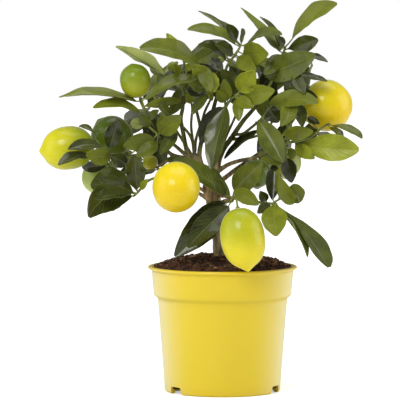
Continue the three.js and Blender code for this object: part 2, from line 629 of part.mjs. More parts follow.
// ---- fruits ----
// Stem end, tip and radius, each end as [x, z, y].
const FRUITS = {
  fruit_left: { stem: [-103, 198.2, -18.5], tip: [-147.8, 192.7, -22], radius: 17.5, nipple: 2.5 },
  fruit_left_dark: { stem: [-77.5, 191.5, 5], tip: [-100.5, 219, 9], radius: 16.5, nipple: 1.5 },
  fruit_left_pale: { stem: [-94, 185.3, 18], tip: [-102, 156.5, 18], radius: 15.5, nipple: 1.5 },
  fruit_front: { stem: [-36.5, 178, -32.5], tip: [-38, 149.5, -66], radius: 19, nipple: 0.6 },
  fruit_small: { stem: [-57.2, 190, 0.5], tip: [-59, 177, 1], radius: 6, nipple: 0.8 },
  fruit_upper_left: { stem: [-66.8, 236.2, -12], tip: [-73, 263.6, -16], radius: 12.4, nipple: 0.8 },
  fruit_tiny: { stem: [-40, 256.6, -6.7], tip: [-40, 265.5, -5], radius: 4.5, nipple: 0.5 },
  fruit_right: { stem: [69, 244.2, 8], tip: [98.4, 214.6, 12], radius: 20.5, nipple: 0.8 },
  fruit_right_hidden: { stem: [49, 196.5, 24], tip: [51, 170, 26], radius: 13.5, nipple: 1.4 },
  fruit_centre_dark: { stem: [26.2, 186.5, 10], tip: [28, 162, 10], radius: 12, nipple: 1.2 },
  fruit_low_front: { stem: [12.2, 147.6, -62], tip: [20.8, 95.4, -66], radius: 17.75, nipple: 3 },
};

// Radius share at a place t from the stem end (0) to the tip (1), with the nipple's share of it.
function fruitShape(t, nipple) {
  const body = Math.sqrt(Math.max(0, 1 - Math.abs(2 * t - 1) ** 2.3));
  return Math.max(body, t > 0.5 ? nipple * Math.sqrt(Math.max(0, (1 - t) / 0.05)) : 0);
}

function fruit({ stem, tip, radius, nipple }) {
  const [from, to] = [place(stem), place(tip)];
  const length = from.distanceTo(to);
  const steps = radius > 10 ? 9 : 6;
  const sides = radius > 15 ? 14 : radius > 13 ? 12 : radius > 10 ? 10 : 8;
  const end = nipple / length; // the nipple stands out past the round body
  const profile = [new THREE.Vector2(0, 0)];
  for (let i = 1; i < steps; i++) {
    const t = (1 - Math.cos((Math.PI * i) / steps)) / 2;
    profile.push(new THREE.Vector2(radius * fruitShape(t, 0), t * (1 - end) * length));
  }
  profile.push(new THREE.Vector2(Math.min(1.5, nipple + 0.5), (1 - end * 0.4) * length));
  profile.push(new THREE.Vector2(0, length));
  const turn = new THREE.Quaternion().setFromUnitVectors(vec(0, 1, 0), to.clone().sub(from).normalize());
  const body = new THREE.LatheGeometry(profile, sides).applyQuaternion(turn).translate(from.x, from.y, from.z);
  return solidOf(body);
}

// ---- leaves ----
const bladeShare = (t, full) => Math.sin(Math.PI * t ** full) ** 0.75;

// A blade between two points that faces the standpoint, rolled until it shows its seen width.
function leafFrame(base, tip, seen, { under = false } = {}) {
  const axis = tip.clone().sub(base);
  const length = axis.length();
  axis.normalize();
  const widths = Array.isArray(seen) ? seen : [seen, seen];
  const width = Math.min(LEAF.widest, Math.max(...widths, LEAF.narrowest * length));
  const sight = EYE.clone().sub(base).normalize();
  const facing = sight.clone().addScaledVector(axis, -sight.dot(axis)).normalize();
  const across = axis.clone().cross(facing);
  const rollOf = (shown) => Math.acos(Math.min(1, shown / width));
  const turned = (roll) =>
    facing.clone().multiplyScalar(Math.cos(roll)).addScaledVector(across, Math.sin(roll));
  const sign = across.z >= 0 ? 1 : -1; // the upper face turns up
  const rolls = widths.map((shown) => sign * (under ? Math.PI - rollOf(shown) : rollOf(shown)));
  return { axis, length, width, across, turned, rolls };
}

function leaf(root, base, tip, seen, options = {}) {
  const { arch = 0.06, bow = 0, full = 0.9 } = options;
  const { axis, length, width, across, turned, rolls } = leafFrame(base, tip, seen, options);
  const middle = turned((rolls[0] + rolls[1]) / 2);
  const spine = (t) =>
    base
      .clone()
      .addScaledVector(axis, length * t)
      .addScaledVector(middle, arch * length * 4 * t * (1 - t))
      .addScaledVector(across, bow * length * 4 * t * (1 - t));
  const ring = (centre, along, normal, half, rise, thick) => {
    const up = normal.clone().addScaledVector(along, -normal.dot(along)).normalize();
    const side = along.clone().cross(up);
    return [
      centre.clone().addScaledVector(side, -half).addScaledVector(up, rise / 2),
      centre.clone().addScaledVector(up, (thick - rise) / 2),
      centre.clone().addScaledVector(side, half).addScaledVector(up, rise / 2),
      centre.clone().addScaledVector(up, (-thick - rise) / 2),
    ];
  };
  const r = LEAF.petiole;
  const stalk = base.clone().sub(root).normalize();
  const rings = [ring(root, stalk, turned(rolls[0]), r, 0, 2 * r), ring(base, axis, turned(rolls[0]), r, 0, 2 * r)];
  for (const t of width < LEAF.small ? LEAF.fewStations : LEAF.stations) {
    const half = (width / 2) * bladeShare(t, full);
    const along = spine(t + 0.02).sub(spine(t - 0.02)).normalize();
    rings.push(ring(spine(t), along, turned(mix(rolls[0], rolls[1], t)), half, LEAF.fold * half, LEAF.thickness));
  }
  rings.push([spine(1)]);
  return skin(rings);
}

function nearestOn(lines, point) {
  let best = null;
  for (const line of lines)
    for (let i = 0; i + 1 < line.length; i++) {
      const on = new THREE.Line3(line[i], line[i + 1]).closestPointToPoint(point, true, vec(0, 0, 0));
      if (!best || on.distanceTo(point) < best.distanceTo(point)) best = on;
    }
  return best;
}

// The twig goes on from the cut end of its branch, across the gap and in the same direction.
function twigLine(from, twig) {
  const line = BRANCHES[from].map(stationOf);
  const [before, end] = line.slice(-2);
  const curve = new THREE.CatmullRomCurve3(line.map((s) => s.point), false, "centripetal");
  const along = curve.getTangentAt(1);
  const start = (away) => ({ point: end.point.clone().addScaledVector(along, away), radius: end.radius * 0.97 });
  return [start(GAP), start(3), ...twig.map(stationOf)];
}

function growStem({ from, twigs, stalks = {} }) {
  const lines = [twigLine(from, twigs[0]), ...twigs.slice(1).map((line) => line.map(stationOf))];
  const woods = lines.map((line) => limb(line, 5, line.length - 1));
  const stalkWoods = Object.entries(stalks).map(([name, line]) => stalk(name, line));
  const curves = lines.map((line, i) => {
    const curve = new THREE.CatmullRomCurve3(line.map((s) => s.point), false, "centripetal");
    return curve.getSpacedPoints(line.length).slice(i ? 0 : 1); // no leaf grows next to the gap
  });
  return { curves, body: union([...woods, ...stalkWoods]) };
}

// Tries a leaf's tip at each depth until it hangs clear of the other pieces.
function hangLeaf(stem, entry, others, kin) {
  const [x0, z0, x1, z1, seen, y0, y1, options] = entry;
  const base = onSight([x0, z0], y0);
  const root = nearestOn(stem.curves, base);
  if (base.distanceTo(root) < LEAF.shortPetiole) {
    const out = onSight([x1, z1], y1).sub(root).normalize();
    base.copy(root).addScaledVector(out, LEAF.shortPetiole);
  }
  const made = SWINGS.map((swing) => () => leaf(root, base, onSight([x1, z1], y1 + swing), seen, options));
  for (const strict of [true, false])
    for (const make of made) {
      const blade = make();
      if (clearOf(blade, others) && (!strict || clearOf(blade, kin, 0.1))) return blade;
    }
  return null;
}

// ---- assembly ----
const wholeWood = wood();
const fixed = { pot: pot(), soil: soil(), trunk_and_branches: wholeWood };
const fruits = Object.fromEntries(Object.entries(FRUITS).map(([name, f]) => [name, fruit(f)]));
const stems = Object.fromEntries(Object.entries(STEMS).map(([name, stem]) => [name, growStem(stem)]));
for (const [name, { twig }] of Object.entries(REAR_STEMS))
  stems[name] = growStem({ from: name, twigs: [twig] });
for (const stem of Object.values(stems)) stem.leaves = [];

const standing = [...Object.values(fixed), ...Object.values(fruits)];
const othersOf = (name) => [
  ...standing,
  ...Object.entries(stems).flatMap(([other, s]) => (other === name ? [] : [s.body, ...s.leaves])),
];
const withoutRoom = [];
for (const [name, stem] of Object.entries(STEMS))
  stem.leaves.forEach((entry, i) => {
    const blade = hangLeaf(stems[name], entry, othersOf(name), stems[name].leaves);
    if (blade) stems[name].leaves.push(blade);
    else withoutRoom.push(`${name} leaf ${i}`);
  });

const inside = ([x, z], outline) => {
  let odd = false;
  outline.forEach(([x0, z0], i) => {
    const [x1, z1] = outline[(i + 1) % outline.length];
    if (z0 > z !== z1 > z && x < x0 + ((z - z0) / (z1 - z0)) * (x1 - x0)) odd = !odd;
  });
  return odd;
};
const hidden = ([x, z]) =>
  inside([x, z], CROWN) && !GAPS.some(([x0, x1, z0, z1]) => x > x0 && x < x1 && z > z0 && z < z1);
const onPlane = (p) => {
  const t = -EYE.y / (p.y - EYE.y);
  return [mix(EYE.x, p.x, t), mix(EYE.z, p.z, t)];
};

// A rear leaf turns about its twig, and grows shorter, until it hangs clear and hidden.
function rearLeaf(name, { leaves, length }, index, draw) {
  const stem = stems[name];
  const curve = new THREE.CatmullRomCurve3(stem.curves[0]);
  const t = Math.min(1, 0.1 + (0.9 * index) / (leaves - 1));
  const root = curve.getPointAt(t);
  const along = curve.getTangentAt(t);
  const side = along.clone().cross(vec(0, 0, 1)).normalize();
  const up = side.clone().cross(along);
  for (let attempt = 0; attempt < REAR.attempts; attempt++) {
    const turn = index * REAR.goldenAngle + attempt * 0.55 + 0.3 * draw();
    const open = t === 1 ? mix(0.3, 1.1, draw()) : mix(0.8, 1.3, draw());
    const out = side.clone().multiplyScalar(Math.cos(turn)).addScaledVector(up, Math.sin(turn));
    const axis = along.clone().multiplyScalar(Math.cos(open)).addScaledVector(out, Math.sin(open));
    axis.z -= REAR.droop;
    axis.normalize();
    const long = length * mix(0.8, 1.15, draw()) * (attempt > REAR.attempts / 2 ? 0.7 : 1);
    const base = root.clone().addScaledVector(axis, REAR.petiole);
    const tip = base.clone().addScaledVector(axis, long);
    const seen = long * mix(0.2, 0.4, draw());
    if (![0.35, 0.6, 0.8, 1].every((share) => hidden(onPlane(base.clone().lerp(tip, share))))) continue;
    const blade = leaf(root, base, tip, seen, { arch: 0.08 });
    if (clearOf(blade, othersOf(name)) && clearOf(blade, stem.leaves, 0.1)) return blade;
  }
  return null;
}
Object.entries(REAR_STEMS).forEach(([name, rule], seed) => {
  const draw = random(101 + seed);
  for (let i = 0; i < rule.leaves; i++) {
    const blade = rearLeaf(name, rule, i, draw);
    if (blade) stems[name].leaves.push(blade);
    else withoutRoom.push(`${name} leaf ${i}`);
  }
});

if (withoutRoom.length) console.warn("left out, with no clear place:", withoutRoom.join(", "));

// ---- colours and export ----
const FINISH = {
  pot: { color: 0xf0d21e, roughness: 0.3 },
  soil: { color: 0x3a2318, roughness: 1 },
  wood: { color: 0x6b5236, roughness: 0.9 },
  leaves: { color: 0x46602a, roughness: 0.45 },
  yellow: { color: 0xf2c800, roughness: 0.35 },
  turning: { color: 0xc8c828, roughness: 0.35 },
  green: { color: 0x4f7a2a, roughness: 0.4 },
};
const FRUIT_FINISH = {
  fruit_left: "turning",
  fruit_front: "yellow",
  fruit_right: "yellow",
  fruit_low_front: "turning",
};

function named(name, manifold, finish) {
  const mesh = new THREE.Mesh(
    geometryOf(manifold),
    new THREE.MeshStandardMaterial({ ...FINISH[finish], metalness: 0 }),
  );
  mesh.name = name;
  return mesh;
}

// The largest body of a union, without slivers: a scrap cut loose is dropped.
const whole = (manifold) =>
  manifold.asOriginal().simplify(SLIVER).decompose().reduce((best, body) => (body.volume() > best.volume() ? body : best));

const tree = new THREE.Group();
tree.name = "potted_limequat_tree";
tree.add(named("pot", whole(fixed.pot), "pot"));
tree.add(named("soil", whole(fixed.soil), "soil"));
tree.add(named("trunk_and_branches", whole(wholeWood), "wood"));
for (const [name, stem] of Object.entries(stems))
  tree.add(named(`leafy_stem_${name}`, whole(union([stem.body, ...stem.leaves])), "leaves"));
for (const [name, body] of Object.entries(fruits))
  tree.add(named(name, body, FRUIT_FINISH[name] ?? "green"));

export default tree;
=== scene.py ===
"""A limequat tree in a nursery pot: finished surfaces, laid round its plain solids. Metres, +Z up."""

import math
from bisect import bisect_right
from collections import namedtuple
from types import SimpleNamespace as Sizes

import bpy
from mathutils import Matrix, Vector, kdtree, noise


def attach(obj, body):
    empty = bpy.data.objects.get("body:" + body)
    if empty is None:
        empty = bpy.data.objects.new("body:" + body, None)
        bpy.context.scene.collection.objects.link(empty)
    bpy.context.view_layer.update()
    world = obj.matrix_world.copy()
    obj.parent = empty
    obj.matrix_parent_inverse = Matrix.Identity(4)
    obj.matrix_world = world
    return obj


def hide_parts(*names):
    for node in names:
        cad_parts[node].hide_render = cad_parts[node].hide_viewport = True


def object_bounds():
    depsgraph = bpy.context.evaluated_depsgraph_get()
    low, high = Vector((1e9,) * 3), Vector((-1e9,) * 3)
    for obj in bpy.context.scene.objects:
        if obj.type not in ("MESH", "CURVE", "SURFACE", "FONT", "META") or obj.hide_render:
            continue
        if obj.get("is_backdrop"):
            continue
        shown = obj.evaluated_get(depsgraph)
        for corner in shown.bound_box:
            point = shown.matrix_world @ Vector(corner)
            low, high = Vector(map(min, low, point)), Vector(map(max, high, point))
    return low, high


bl_info = {
    "name": "Potted limequat tree",
    "version": (1, 0, 0),
    "blender": (4, 5, 0),
    "location": "View3D > Sidebar > Limequat",
    "description": "Builds the pot, soil, wood, leafy stems and fruits of a potted limequat tree",
    "category": "Add Mesh",
}

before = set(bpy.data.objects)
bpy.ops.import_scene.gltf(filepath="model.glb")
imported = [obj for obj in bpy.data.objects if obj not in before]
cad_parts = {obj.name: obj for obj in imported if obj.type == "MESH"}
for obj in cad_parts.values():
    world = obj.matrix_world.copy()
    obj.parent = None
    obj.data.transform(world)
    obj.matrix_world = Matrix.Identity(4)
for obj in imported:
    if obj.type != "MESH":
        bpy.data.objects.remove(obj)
CAD_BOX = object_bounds()
MM = 0.001
TINY = 1e-6
WHITE, GREY, BLACK = (1.0, 1.0, 1.0, 1.0), (0.5, 0.5, 0.5, 1.0), (0.0, 0.0, 0.0, 1.0)

# ---- sizes and places, in millimetres ----
# A place in the crown is x, z on the upright plane y = 0, seen from EYE, and the depth y that it
# is carried to along that line of sight.
EYE = Vector((-18.1, -2800.0, 345.0))
CAMERA = Sizes(lens=314.67, sensor=36.0, tilt=3.906)  # the tilt in degrees down from level
# Lights: place and width in metres, and the setting that gives the power, with a share of it.
AIM = Vector((0, 0, 0.17))
LIGHTS = {
    "key": ((-0.6, -1.4, 1.25), 0.8, "key", 1),
    "top": ((0.1, 0.1, 1.5), 1.1, "top", 1),
    "left_fill": ((-1.3, -0.4, 0.6), 1.2, "sides", 1),
    "right_fill": ((1.4, -0.1, 0.5), 1.2, "sides", 1.7),
}

POT = Sizes(
    lip_radius=60, height=101, lip_height=2.6, collar_top=57, collar_bottom=55.4, step_top=78,
    step_bottom=74.8, body_top=52.2, body_bottom=46.4, foot=1.6, wall=1.5, recess=1.8, pad_radius=20,
)
NOTCH = Sizes(width=15, height=6, taper=1.5, inset=5, depth=14, rounding=0.9, turns=(-54, 66, 186))
# The soil's height at the rim, the rise of its mound and the power that rounds it; its lumps, as heights
# and how many there are to a millimetre, which calm down towards the rim. Chance colours a piece of it:
# dark when low, a chip of bark when high.
SOIL = Sizes(
    rim=100.4, mound=9.5, crown=2.8, lumps=((1.5, 0.09), (1.1, 0.23), (0.6, 0.6)), calm=0.7, margin=6,
    sunk=0.8, depth=6, trunk_hole=8.4, chance=0.5, seed=11,
)
# Crumbs: shares of the largest size, ranges of their three widths, lean in radians, and how deep they lie.
CRUMB = Sizes(
    rough=0.35, smallest=0.25, rarity=2.2, at_trunk=0.4, long=(0.7, 1.5), wide=(0.6, 1.1), high=(0.4, 0.8),
    lean=0.6, lie=(-0.2, 0.35),
)
FIBRE = Sizes(length=(3, 9), radius=0.16, bend=0.6, lift=0.7, sway=0.5, points=5, chance=0.85)
GRAFT = Sizes(x=-9, z=163, spread=6, reach=12, lumps=0.9)
# Bark is old below this height, and turns smooth over the next span upwards; the furrows' size, and how
# much of them is left on smooth bark.
BARK = Sizes(old_below=186, fade=20, furrows=((0.42, 1), (0.25, 2.3)), left=0.06)

# From the end of a branch to its leafy stem, and the most that a rear leaf's tip is off its solid.
GAP = 0.35
PETIOLE = Sizes(shortest=3.5, foot_radius=0.7, radius=0.55, sag=0.06)
RIB = ((0.02, 0.52), (0.15, 0.46), (0.3, 0.4), (0.5, 0.32), (0.7, 0.25), (0.9, 0.16))  # share, radius
BUD = Sizes(length=1.2, taper=0.35)
# Depth shifts of a leaf's tip: the one that ends at a corner of the stem's solid is taken.
SWINGS = (0, -5, 5, -10, 10, -15, 15, -21, 21, -28, 28, -36, 36)
# Blades: the widest; in shares of the length the narrowest and where the rounded tip ends; the power that
# rounds the outline; in shares of half the width how far it folds up from the midrib and is nicked.
BLADE = Sizes(widest=25.0, narrowest=0.4, end=0.983, roundness=0.75, fold=0.3, nick=0.015)
LEAF_SEED = Sizes(to_a_letter=977, first=13)
# Rear leaves: where the first one sits, as a share of the twig; angles in radians; ranges that are drawn
# from; and the tone of the darkest, what chance adds to it, and what being the last one adds.
REAR = Sizes(
    first=0.1, golden_angle=2.4, attempts=40, turn=0.55, stray=0.3, opened=(0.8, 1.3),
    opened_at_end=(0.3, 1.1), droop=0.25, petiole=5, length=(0.8, 1.15), seen=(0.2, 0.4), late=0.7,
    arch=0.08, tone=0.12, brighter=0.3, youngest=0.15, seed=101,
)
CALYX = Sizes(radius=2.4, height=1.1, share=0.25, lobes=5, notch=0.22, seat=0.8)
# Peels: the power that rounds the outline; in shares of the radius how wide they are, how lumpy, how deep
# the hollow at the stem end is, and how far it and the nipple reach; how steep the nipple is.
PEEL = Sizes(
    roundness=2.3, width=0.99, lumps=0.01, dimple=0.03, dimple_reach=0.2, nipple_reach=0.36, steepness=1.3,
)

# Lines of x, z, y, radius.
TRUNK = [
    (0, 89, 0, 7.6), (0, 100, 0, 7.4), (-0.5, 106, 0, 6.9), (-1.5, 112, 0, 6.1), (-2.5, 122, 0, 5.7),
    (-5, 140, 0, 5.7), (-7.5, 154, -1, 6.2), (-9, 162, -1, 6.9), (-10, 170, -1, 5.6), (-11, 176, -1, 4.2),
]
BRANCHES = {
    "left_fork": [(-9, 163, -1, 3.91), (-12, 172, -1, 3.74), (-17, 181, -2, 3.06), (-22, 189, -3, 2.24)],
    "upper_left": [
        (-20, 186, -3, 1.96), (-27.5, 191, -4, 1.9), (-29.8, 198, -5, 1.85), (-31.6, 208, -6, 1.8),
        (-33.5, 219, -6, 1.7), (-31.9, 228, -7, 1.55), (-31.4, 237.5, -7, 1.4),
    ],
    "centre_left": [
        (-22, 188, -3, 1.82), (-23.2, 195, -5, 1.36), (-24.2, 201, -7, 1.24), (-27, 207, -8, 1.18),
        (-33.5, 214.5, -10, 1.05),
    ],
    "inner": [(-22, 190, -2, 1.36), (-24.2, 204, 1, 1.18), (-25.2, 214, 3, 1.12), (-24.5, 224, 4, 1.05)],
    "centre": [
        (-22, 193, -3, 1.36), (-21.6, 201, -5, 1.24), (-19.2, 210, -7, 1.18), (-16.4, 217, -8, 1.18),
        (-14.6, 224, -10, 1.12), (-10.9, 232, -12, 1.12),
    ],
    "leader": [
        (-17, 182, -1, 2.1), (-18.6, 190, 0, 1.96), (-17, 201, 2, 1.82), (-15, 210, 2, 1.82),
        (-9, 222, 1, 1.75), (-6, 232, 0, 1.61), (-4, 240, 0, 1.36), (-3, 245, 0, 1.24),
    ],
    "middle": [(-9, 222, 1, 1.24), (-4, 225, -4, 1.18), (0, 227, -8, 1.12)],
    "right_fork": [
        (-9, 163, -1, 3.74), (-5.5, 176, -2, 3.15), (-2.6, 187, -3, 2.31), (1.5, 196, -3, 2.17),
        (6.7, 203, -3, 2.1), (12, 211, -3, 1.96), (17, 218, -3, 1.82), (25, 227, -2, 1.61),
        (31, 234, -1, 1.24),
    ],
    "right_front": [(9, 206.5, -3, 1.36), (16, 207, -7, 1.24), (23, 212, -10, 1.18), (29, 217, -12, 1.12)],
    "left": [
        (-19, 186, -3, 1.96), (-30, 187.5, -5, 1.82), (-41, 190.5, -7, 1.68), (-47, 197, -8, 1.36),
        (-51, 205, -9, 1.24), (-55, 213, -10, 1.18), (-59, 219, -10, 1.12),
    ],
    "left_mid": [(-50, 203, -9, 1.05), (-51, 204.5, -13, 1.05)],
    "left_low": [(-39, 189.8, -7, 1.24), (-46, 184, -8, 1.12), (-54, 179.5, -9, 1.05)],
    "low_left": [(-8, 157, -1, 2.1), (-18, 163, -7, 1.61), (-32, 169, -12, 1.3), (-40, 171, -14, 1.18)],
    "right": [
        (-5, 176, -2, 2.1), (4, 182, -6, 1.75), (14, 185.5, -9, 1.61), (26, 188, -10, 1.36),
        (38, 193, -11, 1.24), (47, 197.5, -11, 1.18),
    ],
    "low_right": [(-7, 157, -1, 2.1), (0, 157, -6, 1.36), (9, 155.5, -12, 1.24), (22, 153.5, -19, 1.12)],
    "low_front": [(-5, 146, -1, 1.82), (-2, 149, -8, 1.24), (2, 151.5, -14, 1.12)],
    "back_left": [(-10, 168, 0, 2.38), (-19, 180, 16, 1.82), (-34, 194, 34, 1.61), (-46, 204, 48, 1.18)],
    "back_centre": [(-8, 166, 1, 2.38), (-4, 184, 20, 1.82), (0, 204, 38, 1.36), (2, 220, 48, 1.12)],
    "back_right": [(-7, 164, 1, 2.24), (10, 178, 18, 1.75), (30, 192, 34, 1.36), (44, 202, 44, 1.12)],
    "back_high": [(-16, 204, 2, 1.68), (-20, 222, 14, 1.3), (-24, 238, 22, 1.05)],
    "back_low_left": [(-6, 150, 1, 2.1), (-20, 160, 20, 1.36), (-38, 170, 38, 1.05)],
    "mid_left": [(-24, 188, -2, 1.68), (-31, 200, 8, 1.24), (-38, 211, 15, 1.05)],
    "mid_right": [(5, 203, 0, 1.68), (18, 203, 8, 1.24), (30, 206, 14, 1.05)],
    "mid_centre": [(-3, 190, 0, 1.68), (2, 203, 9, 1.24), (8, 216, 16, 1.05)],
    "back_low_right": [(-5, 150, 1, 2.1), (14, 158, 22, 1.36), (26, 166, 38, 1.05)],
}
# The leafy stems: the branch that each one grows from, and its twigs. The last nine are rear stems.
TWIGS = {
    "low_left": ("low_left", [
        [(-50, 172.5, -16, 1.06), (-60, 169, -17, 0.99), (-68, 160, -17, 0.99), (-71, 157, -17, 0.8)],
    ]),
    "left": ("left_low", [
        [
            (-64, 177, -9, 1.06), (-75, 175.5, -8, 0.99), (-86, 177, -8, 0.92), (-93, 183, -10, 0.92),
            (-97, 191, -12, 0.86), (-99, 199, -13, 0.8),
        ],
    ]),
    "left_mid": ("left_mid", [[(-52.5, 207, -17, 0.92), (-57, 211, -20, 0.8), (-60, 214, -21, 0.8)]]),
    "centre_left": ("centre_left", [[(-37, 217, -12, 0.92), (-40, 218, -14, 0.8)]]),
    "upper_left_low": ("left", [[(-62, 225, -10.5, 1.06), (-65, 231, -11, 0.99), (-66.3, 235, -12, 0.86)]]),
    "upper_left": ("upper_left", [
        [(-34, 246, -9, 1.2), (-40, 250.5, -10, 1.06), (-46, 253, -11, 0.86)],
        [(-33, 244, -8.5, 1.06), (-31, 256, -4, 0.86), (-31, 266, 0, 0.8)],
    ]),
    "upper_centre": ("centre", [[(-10.5, 244, -14, 1.06), (-13, 254, -15, 0.99), (-14.5, 260, -15, 0.86)]]),
    "inner": ("inner", [[(-25, 232, 6, 0.92), (-27, 240, 8, 0.8)]]),
    "top": ("leader", [
        [(0, 251, 1, 1.19), (4, 262, 1, 1.12), (9, 269, 1, 1.06), (13, 275, 2, 0.92), (14.5, 278, 2, 0.8)],
    ]),
    "upper_right": ("right_fork", [
        [
            (35, 241, -1, 1.25), (40, 251, -2, 1.19), (45, 262, -4, 1.06), (49, 273, -5, 0.92),
            (50.5, 277, -5, 0.8),
        ],
        [(41, 253, -2, 0.92), (48, 256, -9, 0.86), (55, 259, -15, 0.8)],
    ]),
    "right_mid": ("right_front", [
        [(34, 224, -14, 1.06), (39, 230, -15, 0.99), (46, 235, -16, 0.92), (53, 238, -17, 0.8)],
    ]),
    "centre": ("middle", [[(3, 229, -11, 0.99), (7, 235, -14, 0.92), (12, 239, -16, 0.8)]]),
    "right": ("right", [
        [
            (54, 200, -11, 1.12), (63, 202, -10, 1.06), (72, 205.5, -9, 0.99), (80, 212, -8, 0.92),
            (85, 215, -8, 0.8),
        ],
        [(50, 198, -11, 0.92), (51, 191, -13, 0.86), (51, 187, -14, 0.8)],
    ]),
    "low_right": ("low_right", [
        [(32, 151.5, -26, 1.06), (38, 151, -30, 0.99), (43, 151, -33, 0.86)],
        [(40, 151, -31, 0.86), (44, 153.5, -30, 0.8), (47, 155, -29, 0.8)],
    ]),
    "low_centre": ("low_front", [[(5, 152.5, -19, 1.06), (8, 153, -25, 0.99), (8, 155.5, -28, 0.8)]]),
    "back_left": ("back_left", [[(-54, 214, 54, 1.06), (-62, 226, 58, 0.92), (-66, 238, 60, 0.8)]]),
    "back_centre": ("back_centre", [[(2, 234, 52, 1.06), (0, 248, 54, 0.92), (-4, 260, 56, 0.8)]]),
    "back_right": ("back_right", [[(54, 214, 50, 1.06), (63, 228, 54, 0.92), (68, 240, 56, 0.8)]]),
    "back_high": ("back_high", [[(-27, 250, 27, 0.99), (-30, 260, 31, 0.92), (-32, 268, 34, 0.8)]]),
    "back_low_left": ("back_low_left", [[(-50, 178, 48, 0.99), (-61, 186, 54, 0.86), (-70, 194, 58, 0.8)]]),
    "back_low_right": ("back_low_right", [[(36, 174, 48, 0.99), (47, 180, 54, 0.86), (56, 187, 58, 0.8)]]),
    "mid_left": ("mid_left", [[(-44, 220, 20, 0.99), (-52, 230, 24, 0.86), (-56, 240, 26, 0.8)]]),
    "mid_right": ("mid_right", [[(38, 214, 18, 0.99), (46, 226, 22, 0.86), (52, 238, 24, 0.8)]]),
    "mid_centre": ("mid_centre", [[(12, 226, 20, 0.99), (16, 240, 24, 0.86), (22, 254, 26, 0.8)]]),
}
